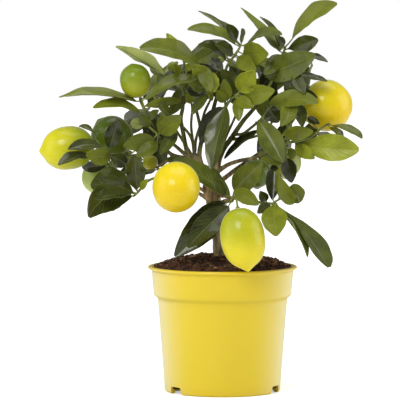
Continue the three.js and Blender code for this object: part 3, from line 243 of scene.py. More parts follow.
# Leaves: base x, z, tip x, z, seen width, base y, tip y, tone from 0, dark, to 9, lime, and where they
# need it arch, bow, full and under: the midrib's rise and its bend across the view in shares of its
# length, how near the tip the blade is widest, and whether the underside shows.
# The tone is partly the leaf's age and partly painted light and shade: leaves that stand in shade have dark
# tones, and lit ones lime tones.
LEAVES = {
    "low_left": [
        (-71.8, 159.7, -107.4, 139, 24, -17, -40, 1, 0.02, 0.195),
        (-71.9, 159.7, -101.8, 154.2, 9.5, -21, -48, 2, 0.06, 0, 1.2),
        (-70, 160, -100, 172, 13, -17, -28, 1), (-74, 167, -106.2, 164.6, 25, -10, 14, 3, 0.06, 0.04),
        (-68.5, 159.7, -70.9, 190, 15.5, -19, -34, 2, 0.06, 0, 1.05),
        (-67, 160, -59.5, 170.5, 5.5, -18, -30, 6),
    ],
    "left": [
        (-97.5, 197.3, -124.2, 194.2, 9.2, -36, -50, 1, 0.02, 0.075),
        (-103, 189, -132.1, 181.7, 7.5, -33, -49, 1, 0.04, 0.05),
        (-88.5, 190.5, -109.7, 190.5, 13.8, -24, -46, 4, 0.06, -0.06, 1.2),
        (-91, 196, -83, 219, 14, -18, -28, 1), (-104.5, 209, -115.5, 213, 4, -9, -3, 2, 0.02, 0.12),
        (-93, 180.5, -113, 180, 9.5, -8, 4, 0), (-77, 183, -91, 190, 12, -14, -34, 1),
    ],
    "left_mid": [
        (-52, 199.5, -69.5, 189, 11, -19, -34, 4), (-55, 203, -80, 197, 14, -19, -30, 4),
        (-57, 210, -67, 223, 8, -20, -30, 2), (-63, 213, -74, 216, 9, -21, -34, 0, 0.06, 0, 0.9, True),
        (-59, 219, -51, 226, 6, -21, -34, 3), (-50, 205, -47, 223, 5, -18, -26, 5),
        (-50, 205, -33, 222, 15, -18, -38, 4),
    ],
    "centre_left": [(-37, 208, -50, 190, 10, -14, -30, 2), (-41, 219, -50, 233, 7, -14, -22, 4)],
    "upper_left_low": [
        (-67.5, 232.3, -132, 236, (7, 2), -13, -24, 5, 0.02, 0.07),
        (-65.7, 224, -104.3, 227.6, 7.7, -13, -28, 6, 0.02, 0.11),
        (-62, 229.5, -32.5, 233.5, 8, -13, -26, 6, 0.03), (-63, 236, -52, 246, 6, -10, 6, 3),
    ],
    "upper_left": [
        (-44, 252.2, -86.2, 277.2, 9.5, -11, -20, 6, 0.02, 0.04, 0.9, True),
        (-33, 269, -44.8, 287.7, 8, 1, 14, 6, 0.02), (-31, 258, -23, 263, 6, -4, -18, 7),
        (-34, 255, -39, 263, 6, -8, -20, 7), (-30, 255, -17, 256, 8, -5, -16, 1),
        (-45, 254, -58, 262, 9, -9, 10, 3),
    ],
    "upper_centre": [
        (-11.5, 259.5, -67.2, 275.4, 15, -16, -30, 4, 0.03, 0.09), (-17, 262, -9, 240, 12, -18, -32, 4),
        (-16, 252.3, -62.3, 233.8, 9, -17, -34, 4, 0.03, 0.07), (-12, 241, -25, 222, 8, -15, -24, 2),
        (-8, 234, -13, 243, 5, -15, -28, 6), (-15, 240, -28, 243, 10, -13, 0, 1),
        (-7, 256, -7, 240, 6, -17, -30, 6), (-13, 252, -26, 261, 9, -14, 2, 2),
        (-10, 249, -24, 262, 13, -17, -26, 5), (-11, 243, -27, 248, 11, -16, -24, 3),
    ],
    "inner": [
        (-24, 226, -28, 241, 8, 4, -4, 6), (-26, 240, -36, 252, 10, 10, 24, 4),
        (-26, 236, -12, 250, 9, 9, 20, 3),
    ],
    "top": [
        (10, 279.2, -28.7, 290.3, 8.5, 0, -12, 4, 0.02, 0.105),
        (11, 280.5, -20, 305.5, 3.5, 4, 16, 2, 0.02, 0.06), (11, 282, 3, 295, 9, 1, -18, 1),
        (17.2, 278.8, 15.2, 291.4, 3.8, 4, 18, 2, 0.06, 0.13),
        (18.8, 277.8, 48, 286.2, 6, -2, -26, 3, 0.02, -0.13),
        (2.7, 266, -20, 278.3, 7, -1, -16, 2, 0.06, 0.09), (8, 272, -6, 279, 10, -1, -26, 1),
        (16.5, 270.5, 37, 271, 20, 0, -30, 5), (15, 268, 30, 259, 6, -4, -16, 7),
        (12, 268, 27, 257, 13, -3, -24, 5), (1, 256, -9, 268, 9, 4, 18, 1), (5, 262, 13, 252, 9, 4, 18, 2),
    ],
    "upper_right": [
        (45.5, 272.3, 14.2, 308.3, (11, 4), -5, -4, 4, 0.02, 0, 0.6),
        (46, 277, 29.3, 301, 4, -3, 8, 2, 0.02, 0.08),
        (56, 284, 92.3, 311.2, 12.5, -7, -24, 5, 0, -0.11, 1.1),
        (50, 274, 76.8, 282.5, 13.5, -7, -24, 1, 0.03, 0, 1.25), (34, 253, 75, 271, 22, -8, -28, 3),
        (62, 268, 84.5, 264.3, 4.5, -4, -10, 1, 0.06, -0.06), (50, 276, 44, 285, 6, -8, -22, 1),
        (53, 259, 53, 240, 10, -16, -30, 1), (57, 258, 66, 239, 10, -16, -30, 1),
        (58, 254.5, 84.3, 249, 5, -15, -20, 2, 0.03), (58, 261, 66, 257, 6, -14, -26, 4),
        (49, 272, 33, 254, 12, -8, -22, 3), (43, 262, 31, 244, 13, -5, -12, 0),
    ],
    "right_mid": [
        (37, 231, 77, 232, 13.5, -18, -36, 4, 0.02, -0.07),
        (50.2, 236.8, 46, 213, 13.5, -22, -44, 5, 0.02, -0.15),
        (28.6, 218.2, 48.5, 183.8, 19, -16, -32, 4, 0.02, -0.015, 1),
        (61.8, 230.4, 64, 212.3, 10, -18, -34, 1), (46, 226, 58, 222, 8, -13, 4, 3),
        (36, 232, 30, 246, 8, -14, -4, 3), (35, 230, 45, 216, 13, -10, -4, 1),
        (29.5, 210, 1, 186.5, 6, -6, 4, 0),
    ],
    "centre": [
        (3, 228, -9, 178, 17, -17, -34, 2), (3, 231, 1, 251, 10, -14, -26, 5),
        (-0.9, 228.5, -17.2, 197.4, 11.5, -14, -22, 0, 0.02, 0.08), (11, 239, 13, 217, 9, -17, -26, 5),
        (12, 241, 26, 258, 17, -17, -38, 6), (17, 236, 42, 242, 16, -18, -42, 5),
        (9, 237, 24, 240, 7, -13, 2, 0), (3, 230, -5, 242, 9, -14, -24, 5),
        (9, 236, 25, 228, 10, -16, -30, 5),
    ],
    "right": [
        (49.5, 206.3, 73, 208.8, 12, -14, -28, 5),
        (60.6, 198.3, 110.2, 194.2, 22, -13, -32, 7, 0.06, 0, 1.3), (59, 197, 74, 187, 11, -13, -30, 6),
        (87, 213.4, 112.4, 203, 6, -9, -16, 3, 0.02, -0.09, 1.3),
        (86, 212, 96.3, 201.8, 5.5, -10, -24, 2, 0.06, -0.06), (68, 220, 78, 215, 6, -8, -14, 1),
        (49, 184, 30, 187, 8, -15, -26, 5), (51, 190, 60, 192, 9, -12, -30, 4),
        (53.5, 190.5, 55.5, 167.5, 12.5, -13, -5, 0, 0.06, 0, 0.75), (76, 207, 92, 196, 9, -5, 14, 2),
    ],
    "low_right": [
        (40, 154, 41.5, 183, 12.5, -27, -16, 0, 0.06, 0, 1), (44, 155, 46.3, 180, 3.5, -28, -12, 6),
        (38, 150, 28, 143, 9, -33, -54, 2), (39, 150, 44, 133.5, 13, -32, -50, 1),
        (40.5, 149.8, 43, 124.3, 20.5, -37, -72, 6, 0.06, 0, 1.15), (36, 152, 30, 161, 8, -29, -42, 1),
        (57, 150.7, 46, 172.8, 11.5, -35, -46, 5, 0.06, -0.07, 0.75),
        (50.5, 157, 66.3, 160.7, 16, -28, -30, 4, 0.03, 0, 1.15),
        (43, 149, 86, 98.6, (11, 15), -36, -50, 2, 0.02, -0.05, 2),
        (43.5, 148, 68.2, 107.3, 5, -38, -60, 3, 0.02, -0.08),
    ],
    "low_centre": [
        (6, 158, -46, 187.5, 16, -24, -16, 3), (9, 162, 32, 185, 19, -29, -50, 3),
        (9.3, 161, 29.3, 149.8, 12.5, -32, -46, 5, 0.06, -0.03),
        (2.4, 151.7, -39.1, 107.7, 24.5, -26, -36, 0, 0.06, 0, 0.75),
        (5, 148.8, -28.8, 115, 19.5, -34, -56, 1), (2, 158, -8, 172, 8, -26, -36, 2),
    ],
}
# Rear stems bear leaves by a rule, each a golden angle further round the twig: their number and length.
REAR_LEAVES = {
    "back_left": (7, 48), "back_centre": (7, 50), "back_right": (7, 48), "back_high": (6, 38),
    "back_low_left": (7, 44), "back_low_right": (6, 44), "mid_left": (6, 40), "mid_right": (6, 44),
    "mid_centre": (6, 44),
}
# Fruits: what bears them, the line of the stalk, stem end and tip as x, z, y, radius, length of the
# nipple, and the peel's colours at both ends. One without a line sits on the end of a twig.
Fruit = namedtuple("Fruit", "bearer stalk stem tip radius nipple stem_colour tip_colour")
FRUITS = {
    "fruit_left": Fruit(
        "left", [(-97, 191, -12, 0.8)],
        (-103, 198.2, -18.5), (-147.8, 192.7, -22), 17.5, 2.5, "#8f9c18", "#d8cf1a",
    ),
    "fruit_left_dark": Fruit(
        "left", [(-74, 175.5, -8, 0.8), (-71, 183, -2, 0.8)],
        (-77.5, 191.5, 5), (-100.5, 219, 9), 16.5, 1.5, "#5f6d1a", "#526416",
    ),
    "fruit_left_pale": Fruit(
        "left", [(-88, 178.5, -8.5, 0.8), (-90, 184, 5, 0.8)],
        (-94, 185.3, 18), (-102, 156.5, 18), 15.5, 1.5, "#8ba24a", "#b4bf62",
    ),
    # The front fruit's tip colour, a touch more orange, is partly ripening and partly painted warm shade on
    # its lower end.
    "fruit_front": Fruit(
        "low_left", [(-46, 171.5, -15, 0.86), (-42, 177, -22, 0.8)],
        (-36.5, 178, -32.5), (-38, 149.5, -66), 19, 0.6, "#eada20", "#e8c918",
    ),
    "fruit_small": Fruit(
        "wood", [(-48.5, 200, -8, 1.05), (-55, 199, -2, 0.9)],
        (-57.2, 190, 0.5), (-59, 177, 1), 6, 0.8, "#a2a428", "#b8b22a",
    ),
    "fruit_upper_left": Fruit(
        "upper_left_low", [],
        (-66.8, 236.2, -12), (-73, 263.6, -16), 12.4, 0.8, "#aeb028", "#74891a",
    ),
    "fruit_tiny": Fruit(
        "upper_left", [(-39.5, 250.3, -10, 0.8)],
        (-40, 256.6, -6.7), (-40, 265.5, -5), 4.5, 0.5, "#7a8226", "#8d9a38",
    ),
    "fruit_right": Fruit(
        "right_mid", [(50, 237, -16.5, 0.86), (59, 246, -6, 0.8)],
        (69, 244.2, 8), (98.4, 214.6, 12), 20.5, 0.8, "#cfc41c", "#f2cf14",
    ),
    "fruit_right_hidden": Fruit(
        "right", [(53, 199.3, -11, 0.8), (51, 204, 8, 0.8)],
        (49, 196.5, 24), (51, 170, 26), 13.5, 1.4, "#8a9440", "#a5b060",
    ),
    "fruit_centre_dark": Fruit(
        "right", [(51, 192, -12.7, 0.8), (40, 194, 2, 0.8)],
        (26.2, 186.5, 10), (28, 162, 10), 12, 1.2, "#55661f", "#66782c",
    ),
    "fruit_low_front": Fruit(
        "low_centre", [(8, 153, -25, 0.86), (9.5, 155, -40, 0.86), (11, 154.5, -54, 0.8)],
        (12.2, 147.6, -62), (20.8, 95.4, -66), 17.75, 3, "#a2ab1e", "#eddb2a",
    ),
}

# ---- numbers and lines ----
def mix(a, b, t):
    return a + (b - a) * t


def smooth(t):
    t = min(1.0, max(0.0, t))
    return t * t * (3 - 2 * t)


def on_sight(x, z, y):
    """The point at depth y that covers x, z on the plane y = 0."""
    return (Vector((x, 0, z)) - EYE) * ((y - EYE.y) / -EYE.y) + EYE


def drawer(seed):
    """Numbers from 0 to 1, always the same ones for a seed."""
    state = [seed & 0xFFFFFFFF]

    def draw():
        state[0] = (state[0] + 0x6D2B79F5) & 0xFFFFFFFF
        a = state[0]
        t = ((a ^ (a >> 15)) * (1 | a)) & 0xFFFFFFFF
        t = ((t + (((t ^ (t >> 7)) * (61 | t)) & 0xFFFFFFFF)) & 0xFFFFFFFF) ^ t
        return ((t ^ (t >> 14)) & 0xFFFFFFFF) / 4294967296

    return draw


def on_disc(draw, reach):
    """A place drawn on a disc: its distance from the middle, x and y."""
    r = reach * math.sqrt(draw())
    turn = 2 * math.pi * draw()
    return r, r * math.cos(turn), r * math.sin(turn)


class Line:
    """A smooth line through points, a centripetal Catmull-Rom spline, measured by its length."""

    DIVISIONS = 200
    STEP = 1e-4

    def __init__(self, points):
        self.points = [Vector(p) for p in points]
        self.table = [0.0]
        last = self.at_parameter(0)
        for i in range(1, self.DIVISIONS + 1):
            here = self.at_parameter(i / self.DIVISIONS)
            self.table.append(self.table[-1] + (here - last).length)
            last = here

    def at_parameter(self, t):
        pts = self.points
        last = len(pts) - 1
        i = min(int(last * t), last - 1)
        w = last * t - i
        p1, p2 = pts[i], pts[i + 1]
        p0 = pts[i - 1] if i > 0 else p1 * 2 - p2
        p3 = pts[i + 2] if i + 2 <= last else p2 * 2 - p1
        d0, d1, d2 = ((b - a).length ** 0.5 for a, b in ((p0, p1), (p1, p2), (p2, p3)))
        d1 = d1 if d1 > self.STEP else 1.0
        d0 = d0 if d0 > self.STEP else d1
        d2 = d2 if d2 > self.STEP else d1
        m1 = ((p1 - p0) / d0 - (p2 - p0) / (d0 + d1) + (p2 - p1) / d1) * d1
        m2 = ((p2 - p1) / d1 - (p3 - p1) / (d1 + d2) + (p3 - p2) / d2) * d1
        c2 = p2 * 3 - p1 * 3 - m1 * 2 - m2
        c3 = p1 * 2 - p2 * 2 + m1 + m2
        return p1 + m1 * w + c2 * w * w + c3 * w * w * w

    def parameter(self, share):
        target = share * self.table[-1]
        low = min(max(bisect_right(self.table, target) - 1, 0), self.DIVISIONS - 1)
        span = self.table[low + 1] - self.table[low]
        return (low + (target - self.table[low]) / max(span, 1e-9)) / self.DIVISIONS

    def at(self, share):
        return self.at_parameter(self.parameter(share))

    def along(self, share):
        t = self.parameter(share)
        ahead, behind = min(1, t + self.STEP), max(0, t - self.STEP)
        return (self.at_parameter(ahead) - self.at_parameter(behind)).normalized()

    def spaced(self, count):
        return [self.at(i / count) for i in range(count + 1)]


def across(direction, hint):
    """A unit vector square to the direction, as near to the hint as it goes."""
    side = hint - direction * hint.dot(direction)
    if side.length < 1e-3:
        side = Vector((1, 0, 0)) - direction * direction.x
    return side.normalized()


def nearest_on(lines, point):
    best = None
    for line in lines:
        for a, b in zip(line, line[1:]):
            ab = b - a
            t = min(1.0, max(0.0, (point - a).dot(ab) / max(ab.length_squared, 1e-9)))
            on = a + ab * t
            if best is None or (on - point).length < (best - point).length:
                best = on
    return best


def stations(line):
    return [(on_sight(x, z, y), radius) for x, z, y, radius in line]


def path(stops, steps):
    """Points and radii, evenly spaced along the smooth line through stops of (point, radius)."""
    line = Line([point for point, _ in stops])
    marks = [0.0]
    for (a, _), (b, _) in zip(stops, stops[1:]):
        marks.append(marks[-1] + (b - a).length)
    run = []
    for i in range(steps + 1):
        s = i / steps * marks[-1]
        k = next(k for k in range(1, len(marks)) if marks[k] >= s - Line.STEP)
        share = (s - marks[k - 1]) / (marks[k] - marks[k - 1])
        run.append((line.at(i / steps), mix(stops[k - 1][1], stops[k][1], share)))
    return run


# ---- objects and meshes ----
def pick(*objects):
    """Selects these objects alone and makes the first one active."""
    bpy.ops.object.select_all(action="DESELECT")
    for obj in objects:
        obj.select_set(True)
    bpy.context.view_layer.objects.active = objects[0]


def join(name, objects):
    pick(*objects)
    if len(objects) > 1:
        bpy.ops.object.join()
    whole = bpy.context.object
    whole.name = whole.data.name = name
    return whole


def use(obj, *materials):
    obj.data.materials.clear()
    for material in materials:
        obj.data.materials.append(material)


def placed(name, data):
    obj = bpy.data.objects.new(name, data)
    bpy.context.collection.objects.link(obj)
    return obj


def primitive(kind, name, **size):
    """Adds a primitive mesh; its operator's name, and its size in metres."""
    bpy.ops.object.select_all(action="DESELECT")
    getattr(bpy.ops.mesh, f"primitive_{kind}_add")(**size)
    obj = bpy.context.object
    obj.name = obj.data.name = name
    return obj


def reshape(obj, shape):
    """Moves every vertex to where shape, a function of its place, puts it."""
    for vertex in obj.data.vertices:
        vertex.co = shape(vertex.co)
    obj.data.update()


def stand(obj, foot, direction):
    """Turns a mesh that points up to point in the direction, and moves it from the origin to the foot."""
    obj.data.transform(direction.to_track_quat("Z", "Y").to_matrix().to_4x4())
    obj.data.transform(Matrix.Translation(foot * MM))


def edit(obj, step, **settings):
    """Runs an edit-mode operator on the whole mesh."""
    pick(obj)
    bpy.ops.object.mode_set(mode="EDIT")
    bpy.ops.mesh.select_all(action="SELECT")
    step(**settings)
    bpy.ops.object.mode_set(mode="OBJECT")


def close_up():
    bpy.ops.mesh.remove_doubles(threshold=TINY)
    bpy.ops.mesh.normals_make_consistent(inside=False)


def shade(obj, degrees):
    pick(obj)
    bpy.ops.object.shade_smooth_by_angle(angle=math.radians(degrees))


def modify(obj, kind, **settings):
    """Adds a modifier and applies it."""
    pick(obj)
    modifier = obj.modifiers.new(kind.title(), kind)
    for key, value in settings.items():
        setattr(modifier, key, value)
    bpy.ops.object.modifier_apply(modifier=modifier.name)


def attribute(obj, name, values):
    """Stores one number for all points, or one each, for the materials to read."""
    count = len(obj.data.vertices)
    held = obj.data.attributes.new(name, "FLOAT", "POINT")
    held.data.foreach_set("value", [values] * count if isinstance(values, float) else values)


def tubes(name, runs, resolution=2):
    """Round tapering tubes along runs of (point, radius), as one mesh."""
    data = bpy.data.curves.new(name, "CURVE")
    data.dimensions = "3D"
    data.bevel_depth = MM
    data.bevel_resolution = resolution
    data.use_fill_caps = True
    for run in runs:
        spline = data.splines.new("POLY")
        spline.points.add(len(run) - 1)
        for spot, (point, radius) in zip(spline.points, run):
            spot.co = (*(point * MM), 1)
            spot.radius = radius
    pick(placed(name, data))
    bpy.ops.object.convert(target="MESH")
    return bpy.context.object


def scattered(name, master, places):
    """Many copies of a small mesh in one mesh, each with its own matrix and its own chance."""
    corners = [vertex.co.copy() for vertex in master.data.vertices]
    faces = [tuple(face.vertices) for face in master.data.polygons]
    points, all_faces, chances = [], [], []
    for matrix, chance in places:
        start = len(points)
        points.extend(matrix @ corner for corner in corners)
        all_faces.extend(tuple(start + i for i in face) for face in faces)
        chances.extend([chance] * len(corners))
    mesh = bpy.data.meshes.new(name)
    mesh.from_pydata(points, [], all_faces)
    obj = placed(name, mesh)
    attribute(obj, "chance", chances)
    bpy.data.objects.remove(master)
    return obj


# ---- materials ----
def colour(text):
    """A scene colour from six hexadecimal digits."""
    shares = [int(text[i : i + 2], 16) / 255 for i in (1, 3, 5)]
    return (*(s / 12.92 if s <= 0.04045 else ((s + 0.055) / 1.055) ** 2.4 for s in shares), 1.0)


class Nodes:
    """The nodes of a material, a shared effect or the world."""

    def __init__(self, tree):
        self.tree = tree

    def add(self, kind, inputs=None, **settings):
        """Adds a node. Inputs, by name or place, are values or the output sockets that feed them."""
        made = self.tree.nodes.new("ShaderNode" + kind)
        for key, value in settings.items():
            setattr(made, key, value)
        for key, value in (inputs or {}).items():
            if isinstance(value, bpy.types.NodeSocket):
                self.tree.links.new(value, made.inputs[key])
            else:
                made.inputs[key].default_value = value
        return made.outputs

    def maths(self, operation, *values):
        return self.add("Math", dict(enumerate(values)), operation=operation)[0]

    def plus(self, a, b):
        return self.maths("ADD", a, b)

    def minus(self, a, b):
        return self.maths("SUBTRACT", a, b)

    def times(self, a, b):
        return self.maths("MULTIPLY", a, b)

    def absolute(self, value):
        return self.maths("ABSOLUTE", value)

    def parts(self, vector):
        return self.add("SeparateXYZ", {"Vector": vector})

    def drift(self, value, spread, share):
        """The value, carried up or down by as much as half the share."""
        return self.plus(value, self.times(self.minus(spread, 0.5), share))

    def ranged(self, value, low, high, to_low=0.0, to_high=1.0):
        """The value carried from one range to another, with soft ends."""
        inputs = {"Value": value, "From Min": low, "From Max": high, "To Min": to_low, "To Max": to_high}
        return self.add("MapRange", inputs, interpolation_type="SMOOTHSTEP")[0]

    def effect(self, name, **inputs):
        """Places a shared effect, which is built once, with its own values."""
        return self.add("Group", inputs, node_tree=bpy.data.node_groups.get(name) or shared(name))[0]


def fill_mottle(nodes, entry):
    """Soft irregular patches between 0 and 1."""
    inputs = {name: entry[name] for name in ("Vector", "Scale", "Detail")}
    return nodes.ranged(nodes.add("TexNoise", inputs)["Fac"], entry["Low"], entry["High"])


def fill_pores(nodes, entry):
    """Small round pits: 1 on the skin between them, 0 at their middles."""
    cells = nodes.add("TexVoronoi", {"Vector": entry["Vector"], "Scale": entry["Scale"]})
    return nodes.ranged(cells["Distance"], 0.0, entry["Width"])


def fill_veins(nodes, entry):
    """Side veins that leave the midrib and bow towards the tip: 1 on a vein, 0 between."""
    place = nodes.parts(entry["UV"])
    away = nodes.times(nodes.absolute(nodes.minus(place[0], 0.5)), 2.0)
    bow = nodes.times(nodes.maths("POWER", away, 0.85), entry["Slant"])
    wobble = nodes.add("TexNoise", {"Vector": entry["UV"], "Scale": 9.0})["Fac"]
    phase = nodes.minus(nodes.times(place[1], entry["Count"]), bow)
    phase = nodes.plus(phase, nodes.times(wobble, 0.5))
    wave = nodes.absolute(nodes.minus(nodes.maths("FRACT", phase), 0.5))
    side_veins = nodes.ranged(wave, 0.0, entry["Width"], 1.0, 0.0)
    return nodes.times(side_veins, nodes.ranged(away, 0.75, 1.0, 1.0, 0.0))


# Shared effects: inputs with their usual values, output, and what fills them.
EFFECTS = {
    "mottle": (
        {"Vector": None, "Scale": 40.0, "Detail": 3.0, "Low": 0.35, "High": 0.65}, "Value", fill_mottle,
    ),
    "pores": ({"Vector": None, "Scale": 900.0, "Width": 0.45}, "Height", fill_pores),
    "veins": ({"UV": None, "Count": 9.0, "Slant": 3.2, "Width": 0.12}, "Mask", fill_veins),
}


def shared(name):
    """Builds a shared effect: a node group with float or vector inputs and one float output."""
    inputs, output, fill = EFFECTS[name]
    tree = bpy.data.node_groups.new(name, "ShaderNodeTree")
    for label, default in inputs.items():
        kind = "NodeSocketVector" if default is None else "NodeSocketFloat"
        socket = tree.interface.new_socket(label, in_out="INPUT", socket_type=kind)
        if default is not None:
            socket.default_value = default
    tree.interface.new_socket(output, in_out="OUTPUT", socket_type="NodeSocketFloat")
    entry = tree.nodes.new("NodeGroupInput").outputs
    leave = tree.nodes.new("NodeGroupOutput").inputs
    tree.links.new(fill(Nodes(tree), entry), leave[output])
    return tree


class Finish(Nodes):
    """A material: the constant values of its shader, and the colour that its layers add up to."""

    def __init__(self, name, shown, **constants):
        self.material = bpy.data.materials.new(name)
        self.material.use_nodes = True
        super().__init__(self.material.node_tree)
        self.shader = next(n for n in self.tree.nodes if n.type == "BSDF_PRINCIPLED")
        for key, value in constants.items():
            self.shader.inputs[key.replace("_", " ")].default_value = value
        coordinates = self.add("TexCoord")
        self.place, self.uv, self.normal = (coordinates[name] for name in ("Object", "UV", "Normal"))
        self.shown = shown

    def number(self, name):
        return self.add("Attribute", attribute_name=name)["Fac"]

    def mottle(self, scale, **inputs):
        return self.effect("mottle", Vector=self.place, Scale=scale, **inputs)

    def facing(self, low, high):
        """How far the surface turns away from the eye."""
        return self.ranged(self.add("LayerWeight", {"Blend": 0.5})["Facing"], low, high)

    def layer(self, mask, colour, strength=None, blend_type="MIX"):
        """Lays a colour on what is shown so far, where the mask has it."""
        share = mask if strength is None else self.times(mask, strength)
        inputs = {0: share, 6: self.shown, 7: colour}
        settings = {"data_type": "RGBA", "blend_type": blend_type, "clamp_factor": True}
        self.shown = self.add("Mix", inputs, **settings)[2]

    def done(self, roughness, bump=None, **feeds):
        """Feeds the shader: roughness as mask, range and floor, bump as height, strength and distance."""
        feeds |= {"Base Color": self.shown, "Roughness": self.maths("MULTIPLY_ADD", *roughness)}
        if bump:
            feeds["Normal"] = self.add("Bump", dict(zip(("Height", "Strength", "Distance"), bump)))["Normal"]
        for key, output in feeds.items():
            self.tree.links.new(output, self.shader.inputs[key.replace("_", " ")])
        return self.material


def pot_plastic(look):
    skin = Finish(
        "pot_plastic", look.colour, Coat_Weight=0.25, Coat_Roughness=0.12, Subsurface_Weight=0.1,
        Subsurface_Scale=0.004,
    )
    clouds = skin.mottle(14.0)
    skin.layer(clouds, look.deep, 0.25)
    # The plastic is darker towards the foot.
    foot = skin.ranged(skin.parts(skin.place)[2], 0.0, 0.012, 1.0, 0.0)
    skin.layer(foot, look.deep, 0.25)
    # Painted sheen: the walls are paled where they turn away, for the light that they reflect from round
    # about.
    slope = skin.absolute(skin.parts(skin.normal)[2])
    skin.layer(skin.facing(0.12, 0.95), look.painted_sheen, skin.ranged(slope, 0.2, 0.5, 0.75, 0.0))
    grain = skin.mottle(1500.0, Low=0.2, High=0.8)
    return skin.done((clouds, 0.08, 0.3), (grain, 0.06, 0.0002))


def potting_soil(look):
    soil = Finish("potting_soil", look.colour, Specular_IOR_Level=0.25)
    fine = soil.mottle(900.0, Detail=6.0)
    soil.layer(soil.mottle(120.0, Detail=5.0), look.warm)
    soil.layer(fine, look.dark, 0.5)
    chance = soil.number("chance")
    soil.layer(soil.ranged(chance, 0.72, 0.9), look.chip)
    soil.layer(soil.ranged(chance, 0.25, 0.0), look.dark)
    return soil.done((fine, 0.15, 0.8), (fine, 0.8, 0.0008))


def bark(look):
    skin = Finish("bark", look.trunk, Specular_IOR_Level=0.3)
    height = skin.parts(skin.place)[2]
    graft_below, graft_above, young = (0.146, 0.158), (0.178, 0.168), (0.176, 0.2)  # metres
    drawn_out = skin.add("Mapping", {"Vector": skin.place, "Scale": (1.0, 1.0, 0.12)})[0]
    strands = skin.effect("mottle", Vector=drawn_out, Scale=500.0, Detail=6.0, Low=0.3, High=0.7)
    patches = skin.mottle(150.0, Detail=3.0)
    skin.layer(patches, look.pale)
    graft = skin.times(skin.ranged(height, *graft_below), skin.ranged(height, *graft_above))
    skin.layer(graft, look.graft, 0.75)
    skin.layer(skin.ranged(height, *young), look.young)
    skin.layer(strands, look.crack, 0.7, "MULTIPLY")
    return skin.done((patches, 0.15, 0.72), (strands, 0.6, 0.0006))


def green_wood(look):
    """The skin of this year's twigs, stalks, petioles and calyces."""
    skin = Finish("green_wood", look.twig, Specular_IOR_Level=0.4)
    patches = skin.mottle(160.0)
    skin.layer(patches, look.fresh_twig)
    return skin.done((patches, 0.1, 0.42))


def leaf_upper(look):
    skin = Finish("leaf_upper", None, Coat_Roughness=0.14, Specular_IOR_Level=0.15)
    tone = skin.number("tone")
    patches = skin.mottle(90.0, Detail=4.0)
    green = skin.drift(skin.drift(tone, patches, 0.12), skin.number("chance"), 0.14)
    # The tone ramp is partly age and partly painted light: dark for old and shaded leaves, lime for young
    # and lit ones.
    skin.shown = skin.add("ValToRGB", {"Fac": green})["Color"]
    stops = skin.shown.node.color_ramp.elements
    stops[0].color, stops[1].color = look.dark, look.lime
    stops.new(0.3).color = look.middle
    stops.new(0.65).color = look.fresh
    veins = skin.effect("veins", UV=skin.uv)
    skin.layer(veins, look.vein, 0.13)
    away = skin.absolute(skin.minus(skin.parts(skin.uv)[0], 0.5))
    rib = skin.ranged(away, 0.012, 0.035, 1.0, 0.0)
    skin.layer(rib, look.vein, 0.25)
    # A faint pale band along the blade's edge: a painted highlight.
    skin.layer(skin.ranged(away, 0.47, 0.5), look.vein, 0.08)
    cells = skin.mottle(1400.0, Low=0.25, High=0.75)
    height = skin.minus(skin.times(cells, 0.12), skin.plus(veins, skin.times(rib, 1.5)))
    # Leaves of low tone, old ones and those darkened as painted shade, have the thickest wax.
    wax = skin.ranged(tone, 0.0, 0.7, 0.65, 0.1)
    return skin.done((patches, 0.12, 0.27), (height, 0.5, 0.0006), Coat_Weight=wax)


def leaf_underside(look):
    skin = Finish("leaf_underside", look.underside, Specular_IOR_Level=0.35)
    skin.layer(skin.ranged(skin.number("tone"), 0.0, 0.8), look.underside_fresh)
    patches = skin.mottle(110.0, Detail=4.0)
    skin.layer(patches, look.middle, 0.2)
    veins = skin.effect("veins", UV=skin.uv, Width=0.09)
    skin.layer(veins, look.vein, 0.2)
    return skin.done((patches, 0.1, 0.5), (veins, 0.25, 0.0004))


def rind(name, look):
    """The fruit's peel: its colour runs from the stem end to the tip, read from the fruit's own map."""
    skin = Finish(
        f"rind_{name}", colour(FRUITS[name].stem_colour), Coat_Weight=0.45, Coat_Roughness=0.2,
        Specular_IOR_Level=0.12, Subsurface_Weight=0.12, Subsurface_Scale=0.003,
        Subsurface_Radius=(0.8, 0.8, 0.3),
    )
    run = skin.number("run")
    patches = skin.mottle(55.0, Detail=4.0)
    skin.layer(skin.ranged(skin.drift(run, patches, 0.12), 0.0, 1.0), colour(FRUITS[name].tip_colour))
    pores = skin.effect("pores", Vector=skin.place, Scale=look.pores)
    # The pits are darkened at their middles: painted shade in the pits.
    skin.layer(skin.maths("MULTIPLY_ADD", pores, -0.12, 0.12), BLACK)
    skin.layer(skin.ranged(run, 0.0, 0.06, 1.0, 0.0), look.stem_end, 0.5)
    # Painted sheen: the peel is paled where it turns away, for the light that it reflects from round about.
    skin.layer(skin.facing(0.6, 1.0), look.painted_sheen, 0.5)
    return skin.done((patches, 0.08, 0.32), (pores, 0.25, 0.0003))


def floor_paint(look):
    paint = Finish("floor_paint", look.floor, Specular_IOR_Level=0.2, Emission_Color=WHITE)
    patches = paint.mottle(2.0)
    paint.layer(patches, GREY, 0.04)
    # A glow that only the viewer sees lets the floor run into the white behind it.
    away = paint.add("VectorMath", {0: paint.place}, operation="LENGTH")["Value"]
    glow = paint.ranged(away, 0.15, 1.2, look.glow, look.far_glow)
    glow = paint.times(paint.add("LightPath")["Is Camera Ray"], glow)
    return paint.done((patches, 0.05, 0.6), Emission_Strength=glow)


